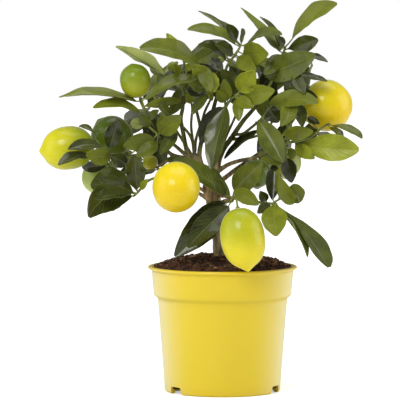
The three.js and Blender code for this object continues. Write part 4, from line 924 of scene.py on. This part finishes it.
# ---- pot and soil ----
def pot_profile(wall):
    """The outline of the pot's half section, as (radius, height), from the axis out, up and back in."""
    p, foot, ring = POT, POT.body_bottom, POT.pad_radius
    under_lip, half = p.height - p.lip_height - 1.2, p.lip_height / 2
    # The floor: its pad, the recess round it and the rounded ring that the pot stands on.
    outer = [
        (0, 0), (ring, 0), (ring + 0.3, 0.5), (ring + 1, p.recess), (foot - 4.5, p.recess),
        (foot - 3.7, 0.4), (foot - 3.5, 0), (foot - p.foot, 0), (foot - p.foot * 0.3, p.foot * 0.3),
        (foot + 0.1, p.foot),
    ]
    # The wall draws in a touch at half height, as thin moulded plastic does.
    for share in (i / 12 for i in range(1, 12)):
        drawn_in = 0.12 * math.sin(math.pi * share)
        outer.append((mix(foot + 0.1, p.body_top, share) - drawn_in, mix(p.foot, p.step_bottom, share)))
    # The step, the collar and the rolled lip.
    outer += [
        (p.body_top, p.step_bottom), (p.body_top + 0.25, p.step_bottom + 0.35),
        (p.body_top + 0.9, p.step_bottom + 1.1), (p.collar_bottom - 0.5, p.step_top - 0.7),
    ]
    for share in (i / 5 for i in range(6)):
        outer.append((mix(p.collar_bottom, p.collar_top, share), mix(p.step_top, under_lip, share)))
    outer.append((p.collar_top + 0.5, under_lip + 0.5))
    for angle in (math.radians(mix(-90, 90, i / 8)) for i in range(9)):
        outer.append((
            p.lip_radius - half + half * math.cos(angle), p.height - half + half * math.sin(angle)
        ))
    # Down the inside, a wall's thickness in.
    return outer + [
        (p.collar_top + 0.2, p.height), (p.collar_top - 0.6, p.height - 0.25),
        (p.collar_top - wall, p.height - 2), (p.collar_bottom - wall, p.step_top + 0.6),
        (p.body_top - wall, p.step_bottom - 0.6), (foot - wall + 0.1, p.recess + 2.6),
        (foot - wall - 1, p.recess + wall), (0, p.recess + wall),
    ]


def build_pot(look):
    profile = pot_profile(look.wall / MM)
    pot = primitive("circle", "pot_shell", vertices=len(profile), radius=1)
    for vertex, (r, z) in zip(pot.data.vertices, profile):
        vertex.co = (r * MM, 0, z * MM)
    edit(pot, bpy.ops.mesh.spin, steps=look.sides, angle=2 * math.pi, center=(0, 0, 0), axis=(0, 0, 1))
    edit(pot, close_up)
    half, height = NOTCH.width / 2 * MM, NOTCH.height * MM

    def shape(co):
        up = co.z > 0
        reach = half - (NOTCH.taper * MM if up else 0)
        y = NOTCH.inset * MM - POT.body_bottom * MM + co.y * NOTCH.depth * MM
        return Vector((math.copysign(reach, co.x), y, height if up else -1 * MM))

    for degrees in NOTCH.turns:
        notch = primitive("cube", "notch", size=1)
        reshape(notch, shape)
        edit(notch, bpy.ops.mesh.bevel, offset=NOTCH.rounding * MM, segments=3, affect="EDGES")
        notch.data.transform(Matrix.Rotation(math.radians(degrees), 4, "Z"))
        modify(pot, "BOOLEAN", object=notch, operation="DIFFERENCE", solver="EXACT")
        bpy.data.objects.remove(notch)
    shade(pot, 40)
    use(pot, pot_plastic(look))
    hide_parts("pot")
    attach(pot, "root")


def soil_height(x, y):
    """The height of the lumpy, mounded soil over the place x, y."""
    r = math.hypot(x, y)
    lumps = sum(high * noise.noise(Vector((x, y, 0)) * often) for high, often in SOIL.lumps)
    edge = POT.collar_top - POT.wall - 1.5
    calm = SOIL.calm * smooth((r - edge + SOIL.margin) / SOIL.margin)
    mound = SOIL.rim + SOIL.mound * (1 - (r / POT.collar_top) ** SOIL.crown)
    return mound + lumps * (1 - calm) - SOIL.sunk


def fibre(draw, reach):
    """A bent strand that lies on the soil."""
    _, x, y = on_disc(draw, reach)
    heading, length = 2 * math.pi * draw(), mix(*FIBRE.length, draw())
    run = []
    for i in range(FIBRE.points):
        step = length * (i / (FIBRE.points - 1) - 0.5)
        bend = FIBRE.bend * math.sin(i * 1.3 + heading)
        px = x + step * math.cos(heading) - bend * math.sin(heading)
        py = y + step * math.sin(heading) + bend * math.cos(heading)
        lift = FIBRE.lift + FIBRE.sway * math.sin(i)
        run.append((Vector((px, py, soil_height(px, py) + lift)), FIBRE.radius))
    return run


def build_soil(look):
    reach = POT.collar_top - POT.wall - 0.5
    soil = primitive("uv_sphere", "soil_bed", segments=160, ring_count=96, radius=1)

    def shape(co):
        r = reach * min(1.0, math.acos(min(1, abs(co.z))) / (math.pi / 2))
        turn = math.atan2(co.y, co.x)
        x, y = r * math.cos(turn), r * math.sin(turn)
        z = soil_height(x, y) if co.z > -TINY else SOIL.rim - SOIL.depth
        return Vector((x, y, z)) * MM if math.hypot(co.x, co.y) > TINY else Vector((0, 0, z)) * MM

    reshape(soil, shape)
    attribute(soil, "chance", SOIL.chance)
    draw = drawer(SOIL.seed)
    crumb = primitive("ico_sphere", "crumb", subdivisions=1, radius=1)
    reshape(crumb, lambda co: co * (1 + CRUMB.rough * noise.noise(co * 2.3)))
    places = []
    for _ in range(look.crumbs):
        r, x, y = on_disc(draw, reach - 1.5)
        size = look.crumb_size / MM * mix(CRUMB.smallest, 1.0, draw() ** CRUMB.rarity)
        if r < SOIL.trunk_hole:
            size *= CRUMB.at_trunk
        stretch = Vector([mix(*widths, draw()) for widths in (CRUMB.long, CRUMB.wide, CRUMB.high)])
        lean = Matrix.Rotation(draw() * 6.3, 4, "Z")
        lean @= Matrix.Rotation(mix(-CRUMB.lean, CRUMB.lean, draw()), 4, "X")
        spot = Vector((x, y, soil_height(x, y) + size * mix(*CRUMB.lie, draw()))) * MM
        shaped = Matrix.Diagonal((*(stretch * size * MM), 1))
        places.append((Matrix.Translation(spot) @ lean @ shaped, draw()))
    crumbs = scattered("crumbs", crumb, places)
    fibres = tubes("fibres", [fibre(draw, reach - 5) for _ in range(look.fibres)], 0)
    attribute(fibres, "chance", FIBRE.chance)
    bed = join("soil_bed", [soil, crumbs, fibres])
    shade(bed, 60)
    use(bed, potting_soil(look))
    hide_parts("soil")
    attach(bed, "root")


# ---- wood ----
def stalks(bearer):
    """The stalks that a stem or the wood bears, each run on to meet its fruit square, and their calyces."""
    runs, calyces = [], []
    for fruit in FRUITS.values():
        if fruit.bearer != bearer or not fruit.stalk:
            continue
        start = on_sight(*fruit.stem)
        back = (start - on_sight(*fruit.tip)).normalized()
        thick = fruit.stalk[-1][3]
        stops = stations(fruit.stalk)
        for away, swell in ((CALYX.height + 2, 1), (0.6, 1.1)):
            stops.append((start + back * away, thick * swell))
        runs.append(path(stops, 5 * len(stops)))
        calyces.append(calyx(start, back, fruit.radius))
    return runs, calyces


def calyx(start, back, fruit_radius):
    """A small star of five lobes that sits in the hollow of the stem end, thick in the middle."""
    radius = min(CALYX.radius, fruit_radius * CALYX.share)
    foot = -CALYX.seat * PEEL.dimple * fruit_radius
    star = primitive("cone", "calyx", vertices=20, radius1=1, radius2=0.42, depth=1, end_fill_type="TRIFAN")

    def shape(co):
        lobe = 1 - CALYX.notch + CALYX.notch * math.cos(CALYX.lobes * math.atan2(co.y, co.x))
        low = co.z < 0
        wide = radius * (lobe if low else 1)
        return Vector((co.x * wide, co.y * wide, foot if low else CALYX.height)) * MM

    reshape(star, shape)
    stand(star, start, back)
    return star


def furrowed(co, normal, relief):
    """The bark's place: furrowed where it is old, and rough and scarred at the graft."""
    spot = co / MM
    old = smooth((BARK.old_below - spot.z) / BARK.fade)
    at_graft = abs(spot.x - GRAFT.x) < GRAFT.reach and abs(spot.y) < GRAFT.reach
    scar = math.exp(-(((spot.z - GRAFT.z) / GRAFT.spread) ** 2)) if at_graft else 0
    strand = Vector((spot.x * 0.9, spot.y * 0.9, spot.z * 0.16))
    depth = sum(high * noise.noise(strand * often) for high, often in BARK.furrows)
    lump = noise.noise(spot * 0.28)
    return co + normal * MM * (relief * (old * depth + scar * GRAFT.lumps * lump) + BARK.left * depth)


def build_wood(look):
    stops = [stations(line) for line in BRANCHES.values()]
    runs, calyces = stalks("wood")
    limbs = [path(stations(TRUNK), 60), *(path(line, 8 * len(line)) for line in stops)]
    wood = tubes("wood", limbs + runs, 6)
    modify(wood, "REMESH", mode="VOXEL", voxel_size=look.grain)
    modify(wood, "SMOOTH", factor=0.5, iterations=3)
    normals = [vertex.normal.copy() for vertex in wood.data.vertices]
    for vertex, normal in zip(wood.data.vertices, normals):
        vertex.co = furrowed(vertex.co, normal, look.relief)
    wood = join("wood", [wood, *calyces])
    shade(wood, 60)
    use(wood, bark(look))
    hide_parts("trunk_and_branches")
    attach(wood, "root")


# ---- leafy stems ----
def stem_lines(name):
    """A leafy stem's twigs, the first going on from the cut end of its branch, and points along them."""
    branch, twigs = TWIGS[name]
    stops = stations(BRANCHES[branch])
    end, radius = stops[-1]
    along = Line([point for point, _ in stops]).along(1)
    lines = [stations(twig) for twig in twigs]
    lines[0] = [(end + along * away, radius * 0.97) for away in (GAP, 3)] + lines[0]
    spines = [Line([point for point, _ in line]).spaced(len(line)) for line in lines]
    return lines, [spines[0][1:], *spines[1:]]


class Leaf:
    """One leaf: where its blade lies, how it turns and how it curves."""

    def __init__(self, root, base, tip, seen, tone, chance, arch=0.06, bow=0.0, full=0.9, under=False):
        self.root, self.base, self.tone, self.chance = root, base, tone, chance
        self.length = (tip - base).length
        self.axis = (tip - base).normalized()
        widths = seen if isinstance(seen, tuple) else (seen, seen)
        self.width = min(BLADE.widest, max(*widths, BLADE.narrowest * self.length))
        sight = (EYE - base).normalized()
        self.facing = (sight - self.axis * sight.dot(self.axis)).normalized()
        self.across = self.axis.cross(self.facing)
        sign = 1 if self.across.z >= 0 else -1
        rolls = [math.acos(min(1, shown / self.width)) for shown in widths]
        self.rolls = [sign * (math.pi - roll if under else roll) for roll in rolls]
        self.middle = self.turned(sum(self.rolls) / 2)
        self.arch, self.bow, self.full = arch * self.length, bow * self.length, full

    def turned(self, roll):
        return self.facing * math.cos(roll) + self.across * math.sin(roll)

    def spine(self, t):
        swell = 4 * t * (1 - t)
        rise = self.middle * (self.arch * swell) + self.across * (self.bow * swell)
        return self.base + self.axis * (self.length * t) + rise

    def frame(self, t):
        along = (self.spine(t + 0.02) - self.spine(t - 0.02)).normalized()
        up = across(along, self.turned(mix(*self.rolls, t)))
        return up, along.cross(up)

    def half_width(self, t):
        body = self.width / 2 * max(0.0, math.sin(math.pi * t**self.full)) ** BLADE.roundness
        return max(body, mix(PETIOLE.radius, 0.12, smooth(t * 4)))

    def point(self, u, t, ripple):
        """The blade's place at u across it, from -1 to 1, and t along it."""
        t *= BLADE.end
        half = self.half_width(t)
        up, side = self.frame(t)
        phase = 6.3 * self.chance
        # Two waves ripple the margin, each half in its own way, and a third one nicks it.
        wave = math.sin(9 * t + phase + (1.4 if u > 0 else 0)) + 0.6 * math.sin(17 * t + 2.1 * phase)
        edge = 1 - BLADE.nick + BLADE.nick * math.sin(31 * t + phase) * abs(u)
        rise = BLADE.fold * half * (0.45 * abs(u) + 0.55 * u * u - 0.5)
        rise += ripple * half * wave * u * u * smooth(t * 5)
        return self.spine(t) + side * (half * edge * u) + up * rise

    def petiole_run(self, thickness):
        """The petiole, and the rib that goes on from it along the blade's underside."""
        sag = across(self.axis, self.middle) * (-PETIOLE.sag * (self.base - self.root).length)
        middle = self.root.lerp(self.base, 0.5) + sag
        run = [(self.root, PETIOLE.foot_radius), (middle, PETIOLE.radius)]
        for t, radius in RIB:
            low = BLADE.fold / 2 * self.half_width(t) + thickness / 2 + radius * 0.5
            run.append((self.spine(t) - self.frame(t)[0] * low, radius))
        return run


def miss_of(name):
    """What tells how far a point is from the nearest corner of a leafy stem's solid, in metres."""
    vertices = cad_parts[f"leafy_stem_{name}"].data.vertices
    tree = kdtree.KDTree(len(vertices))
    for i, vertex in enumerate(vertices):
        tree.insert(vertex.co, i)
    tree.balance()
    return lambda point: tree.find(point * MM)[2]


def hung_leaves(name, spines, miss, draw_chance):
    """The leaves that are placed one by one, each at the depth at which the stem's solid has it."""
    for x0, z0, x1, z1, seen, y0, y1, tone, *form in LEAVES[name]:
        base = on_sight(x0, z0, y0)
        root = nearest_on(spines, base)
        if (base - root).length < PETIOLE.shortest:
            base = root + (on_sight(x1, z1, y1) - root).normalized() * PETIOLE.shortest
        tip = min((on_sight(x1, z1, y1 + swing) for swing in SWINGS), key=miss)
        yield Leaf(root, base, tip, seen, tone / 9, draw_chance(), *form)


def rear_leaves(name, spines, miss, draw_chance):
    """The leaves of a rear stem: of the places that the rule draws for each, the one its solid has."""
    number, full_length = REAR_LEAVES[name]
    draw = drawer(REAR.seed + list(REAR_LEAVES).index(name))
    line = Line(spines[0])
    for index in range(number):
        t = min(1, REAR.first + (1 - REAR.first) * index / (number - 1))
        root, along = line.at(t), line.along(t)
        side = along.cross(Vector((0, 0, 1))).normalized()
        up = side.cross(along)
        chance = draw_chance()
        for attempt in range(REAR.attempts):
            turn = index * REAR.golden_angle + attempt * REAR.turn + REAR.stray * draw()
            opened = mix(*(REAR.opened_at_end if t == 1 else REAR.opened), draw())
            out = side * math.cos(turn) + up * math.sin(turn)
            axis = along * math.cos(opened) + out * math.sin(opened)
            axis.z -= REAR.droop
            axis.normalize()
            late = REAR.late if attempt > REAR.attempts / 2 else 1
            length = full_length * mix(*REAR.length, draw()) * late
            base = root + axis * REAR.petiole
            seen = length * mix(*REAR.seen, draw())
            if miss(base + axis * length) < GAP * MM:
                tone = REAR.tone + REAR.brighter * chance * chance
                tone += REAR.youngest if index == number - 1 else 0
                yield Leaf(root, base, base + axis * length, seen, tone, chance, REAR.arch)
                break


def build_stem(name, look, master, materials):
    lines, spines = stem_lines(name)
    runs = []
    for line in lines:
        last, radius = line[-1]
        bud = last + (last - line[-2][0]).normalized() * BUD.length
        runs.append(path([*line, (bud, radius * BUD.taper)], 6 * len(line)))
    stalk_runs, calyces = stalks(name)
    runs += stalk_runs
    leaves = hung_leaves if name in LEAVES else rear_leaves
    draw_chance = drawer(len(name) * LEAF_SEED.to_a_letter + LEAF_SEED.first)
    blades = []
    for leaf in leaves(name, spines, miss_of(name), draw_chance):
        blade = placed("blade", master.data.copy())
        reshape(blade, lambda co: leaf.point(co.x, co.y, look.ripple) * MM)
        attribute(blade, "tone", float(leaf.tone))
        attribute(blade, "chance", float(leaf.chance))
        blades.append(blade)
        runs.append(leaf.petiole_run(look.thickness / MM))
    foliage = join("foliage", blades)
    use(foliage, *materials)
    modify(foliage, "SOLIDIFY", thickness=look.thickness, offset=0, material_offset=1)
    wood = [tubes("twigs", runs), *calyces]
    for piece in wood:
        use(piece, materials[-1])
    whole = join(f"leaves_{name}", [foliage, *wood])
    # A margin that waves a hair's breadth past the reach of the whole tree is drawn in.
    reshape(whole, lambda co: Vector([min(max(c, low), high) for c, low, high in zip(co, *CAD_BOX)]))
    shade(whole, 55)
    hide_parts(f"leafy_stem_{name}")
    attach(whole, "root")


def build_stems(look):
    master = primitive("grid", "blade", x_subdivisions=12, y_subdivisions=22, size=2)
    reshape(master, lambda co: Vector((math.copysign(abs(co.x) ** 1.1, co.x), (co.y + 1) / 2, 0)))
    materials = (leaf_upper(look), leaf_underside(look), green_wood(look))
    for name in TWIGS:
        build_stem(name, look, master, materials)
    bpy.data.objects.remove(master)


# ---- fruits ----
def build_fruit(name, look):
    fruit = FRUITS[name]
    start, end = on_sight(*fruit.stem), on_sight(*fruit.tip)
    radius, body = fruit.radius, (end - start).length - fruit.nipple - 0.3
    peel = primitive("uv_sphere", f"peel_{name}", segments=64, ring_count=48, radius=1)
    attribute(peel, "run", [(1 - vertex.co.z) / 2 for vertex in peel.data.vertices])

    def shape(co):
        t = (1 - co.z) / 2
        wide = math.hypot(co.x, co.y)
        r = PEEL.width * radius * math.sqrt(max(0, 1 - abs(2 * t - 1) ** PEEL.roundness))
        r *= 1 + PEEL.lumps * noise.noise(co * 1.7 + start * 0.1)
        if t < 0.5:
            end_shape = PEEL.dimple * radius * math.exp(-((r / (PEEL.dimple_reach * radius)) ** 2))
        else:
            fall = max(0, 1 - math.hypot(r, 0.3) / (PEEL.nipple_reach * radius))
            end_shape = fruit.nipple * fall**PEEL.steepness
        turn = r / wide if wide > TINY else 0
        return Vector((co.x * turn, co.y * turn, t * body + end_shape)) * MM

    reshape(peel, shape)
    stand(peel, start, end - start)
    edit(peel, close_up)
    shade(peel, 80)
    use(peel, rind(name, look))
    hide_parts(name)
    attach(peel, "root")


def build_fruits(look):
    for name in FRUITS:
        build_fruit(name, look)


# ---- stage ----
def build_stage(look):
    floor = primitive("plane", "floor", size=12)
    use(floor, floor_paint(look))
    floor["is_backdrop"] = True
    world = bpy.context.scene.world or bpy.data.worlds.new("studio")
    bpy.context.scene.world = world
    world.use_nodes = True
    nodes = Nodes(world.node_tree)
    lit, seen = (nodes.add("Background", {"Color": WHITE, "Strength": s})[0] for s in (look.sky, 1.0))
    both = nodes.add("MixShader", {0: nodes.add("LightPath")["Is Camera Ray"], 1: lit, 2: seen})[0]
    output = next(n for n in nodes.tree.nodes if n.type == "OUTPUT_WORLD")
    nodes.tree.links.new(both, output.inputs["Surface"])
    for name, (place, width, setting, share) in LIGHTS.items():
        bpy.ops.object.light_add(type="AREA", location=place)
        light = bpy.context.object
        light.name = name
        light.data.size = width
        light.data.energy = getattr(look, setting) * share
        light.rotation_euler = (AIM - Vector(place)).to_track_quat("-Z", "Y").to_euler()
    camera = placed("camera", bpy.data.cameras.new("camera"))
    camera.data.lens, camera.data.sensor_width = CAMERA.lens, CAMERA.sensor
    camera.location = EYE * MM
    camera.rotation_euler = (math.radians(90 - CAMERA.tilt), 0, 0)
    bpy.context.scene.camera = camera
    bpy.context.scene.view_settings.view_transform = "Standard"


# ---- settings ----
def length(name, description, default):
    return bpy.props.FloatProperty(name=name, description=description, default=default, unit="LENGTH")


def power(name, description, default):
    return bpy.props.FloatProperty(name=name, description=description, default=default, unit="POWER")


def amount(name, description, default):
    return bpy.props.FloatProperty(name=name, description=description, default=default, min=0)


def count(name, description, default):
    return bpy.props.IntProperty(name=name, description=description, default=default, min=0)


def paint(name, description, default):
    return bpy.props.FloatVectorProperty(
        name=name, description=description, default=colour(default), size=4, min=0, max=1, subtype="COLOR"
    )


class LimequatStage(bpy.types.PropertyGroup):
    floor: paint("Floor", "The pale floor", "#f4f4f2")
    glow: amount("Floor glow", "How far the floor round the pot is brightened towards white", 0.5)
    far_glow: amount("Far glow", "The same at the far end of the floor", 0.9)
    sky: amount("Surrounding light", "Strength of the white surroundings", 0.3)
    key: power("Key", "Power of the main light", 17)
    top: power("Top", "Power of the light overhead", 8)
    sides: power("Sides", "Power of each side light", 6)


class LimequatPot(bpy.types.PropertyGroup):
    wall: length("Wall", "Thickness of the moulded wall", POT.wall * MM)
    sides: count("Sides", "Faces round the pot", 128)
    colour: paint("Colour", "The plastic in the light", "#e2c712")
    deep: paint("Deep colour", "The plastic's deeper patches", "#dcbe20")
    # A painted sheen: the pale colour laid on the walls where they turn away.
    painted_sheen: paint("Sheen", "The plastic where it turns away and takes on the light round it", "#fff3b8")


class LimequatSoil(bpy.types.PropertyGroup):
    crumbs: count("Crumbs", "Loose crumbs on the soil", 1500)
    crumb_size: length("Crumb size", "Radius of the largest crumbs", 2.1 * MM)
    fibres: count("Fibres", "Strands of bark fibre on the soil", 160)
    colour: paint("Colour", "Moist soil", "#38221a")
    warm: paint("Warm colour", "Reddish patches of peat", "#664028")
    dark: paint("Dark colour", "Hollows between crumbs", "#150b06")
    chip: paint("Chip colour", "Chips of bark and fibre", "#94704e")


class LimequatWood(bpy.types.PropertyGroup):
    grain: length("Grain", "Size of the faces of the fused wood", 0.5 * MM)
    relief: amount("Relief", "How deep the old bark is furrowed", 1.0)
    trunk: paint("Trunk", "The old bark", "#97845a")
    pale: paint("Pale bark", "Its weathered ridges", "#c4b08a")
    graft: paint("Graft", "The rough swelling where the tree was grafted", "#c4a478")
    young: paint("Young wood", "Bark of the branches", "#65662f")
    crack: paint("Cracks", "The furrows between the strands", "#4a4028")


class LimequatLeaves(bpy.types.PropertyGroup):
    thickness: length("Thickness", "Thickness of a blade", 0.45 * MM)
    ripple: amount("Ripple", "How far the margins wave, as a share of half the width", 0.07)
    # The four tones are partly the leaves' age and partly painted shade and light.
    dark: paint("Dark", "Old leaves in the shade", "#23270d")
    middle: paint("Middle", "Grown leaves", "#4e571b")
    fresh: paint("Fresh", "Leaves in the light", "#7a8222")
    lime: paint("Lime", "The youngest leaves", "#b0b830")
    vein: paint("Veins", "Midribs and veins", "#a3ab5c")
    underside: paint("Underside", "The pale side of old leaves", "#929a58")
    underside_fresh: paint("Fresh underside", "The pale side of young leaves", "#b2ba6c")
    twig: paint("Twigs", "This year's twigs", "#59642a")
    fresh_twig: paint("Fresh twigs", "Their lighter patches", "#8c9442")


class LimequatFruits(bpy.types.PropertyGroup):
    pores: amount("Pores", "Oil glands in the peel, per metre", 700.0)
    stem_end: paint("Stem end", "The peel round the calyx", "#7a8c2c")
    # A painted sheen: the pale colour laid on the peel where it turns away.
    painted_sheen: paint("Sheen", "The peel where it turns away and takes on the light round it", "#f7f2c0")


# ---- operators ----
class Builder:
    """What every operator here shares: it builds one piece, or group of like pieces, from its settings."""

    bl_options = {"REGISTER", "UNDO"}

    def execute(self, context):
        self.build(getattr(context.scene, self.settings))
        return {"FINISHED"}


class LIMEQUAT_OT_stage(Builder, bpy.types.Operator):
    """Set up the pale floor, the soft studio light and the camera"""

    bl_idname = "limequat.stage"
    bl_label = "Stage"
    settings, group = "limequat_stage", LimequatStage
    build = staticmethod(build_stage)


class LIMEQUAT_OT_pot(Builder, bpy.types.Operator):
    """Turn the moulded nursery pot, with its lip, step, foot and drain notches"""

    bl_idname = "limequat.pot"
    bl_label = "Pot"
    settings, group = "limequat_pot", LimequatPot
    build = staticmethod(build_pot)


class LIMEQUAT_OT_soil(Builder, bpy.types.Operator):
    """Heap the potting soil, with its crumbs and fibres"""

    bl_idname = "limequat.soil"
    bl_label = "Soil"
    settings, group = "limequat_soil", LimequatSoil
    build = staticmethod(build_soil)


class LIMEQUAT_OT_wood(Builder, bpy.types.Operator):
    """Grow the trunk with its graft, and the branches"""

    bl_idname = "limequat.wood"
    bl_label = "Trunk and branches"
    settings, group = "limequat_wood", LimequatWood
    build = staticmethod(build_wood)


class LIMEQUAT_OT_leafy_stems(Builder, bpy.types.Operator):
    """Grow the leafy stems, each with its twigs, stalks, petioles and blades"""

    bl_idname = "limequat.leafy_stems"
    bl_label = "Leafy stems"
    settings, group = "limequat_leaves", LimequatLeaves
    build = staticmethod(build_stems)


class LIMEQUAT_OT_fruits(Builder, bpy.types.Operator):
    """Hang the fruits, from green to ripe"""

    bl_idname = "limequat.fruits"
    bl_label = "Fruits"
    settings, group = "limequat_fruits", LimequatFruits
    build = staticmethod(build_fruits)


OPERATORS = (
    LIMEQUAT_OT_stage, LIMEQUAT_OT_pot, LIMEQUAT_OT_soil, LIMEQUAT_OT_wood, LIMEQUAT_OT_leafy_stems,
    LIMEQUAT_OT_fruits,
)


class LIMEQUAT_PT_tree(bpy.types.Panel):
    """Lists the pieces of the potted tree with their settings"""

    bl_idname = "LIMEQUAT_PT_tree"
    bl_label = "Potted limequat tree"
    bl_space_type = "VIEW_3D"
    bl_region_type = "UI"
    bl_category = "Limequat"

    def draw(self, context):
        for operator in OPERATORS:
            box = self.layout.box()
            box.operator(operator.bl_idname)
            for name in operator.group.__annotations__:
                box.prop(getattr(context.scene, operator.settings), name)


def register():
    for operator in OPERATORS:
        bpy.utils.register_class(operator.group)
        setattr(bpy.types.Scene, operator.settings, bpy.props.PointerProperty(type=operator.group))
        bpy.utils.register_class(operator)
    bpy.utils.register_class(LIMEQUAT_PT_tree)


def unregister():
    bpy.utils.unregister_class(LIMEQUAT_PT_tree)
    for operator in reversed(OPERATORS):
        bpy.utils.unregister_class(operator)
        delattr(bpy.types.Scene, operator.settings)
        bpy.utils.unregister_class(operator.group)


def main():
    register()
    bpy.ops.limequat.stage()
    bpy.ops.limequat.pot()
    bpy.ops.limequat.soil()
    bpy.ops.limequat.wood()
    bpy.ops.limequat.leafy_stems()
    bpy.ops.limequat.fruits()
    boxes = {"cad": CAD_BOX, "visual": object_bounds()}
    {name: [list(corner) for corner in box] for name, box in boxes.items()}


if __name__ == "__main__":
    main()
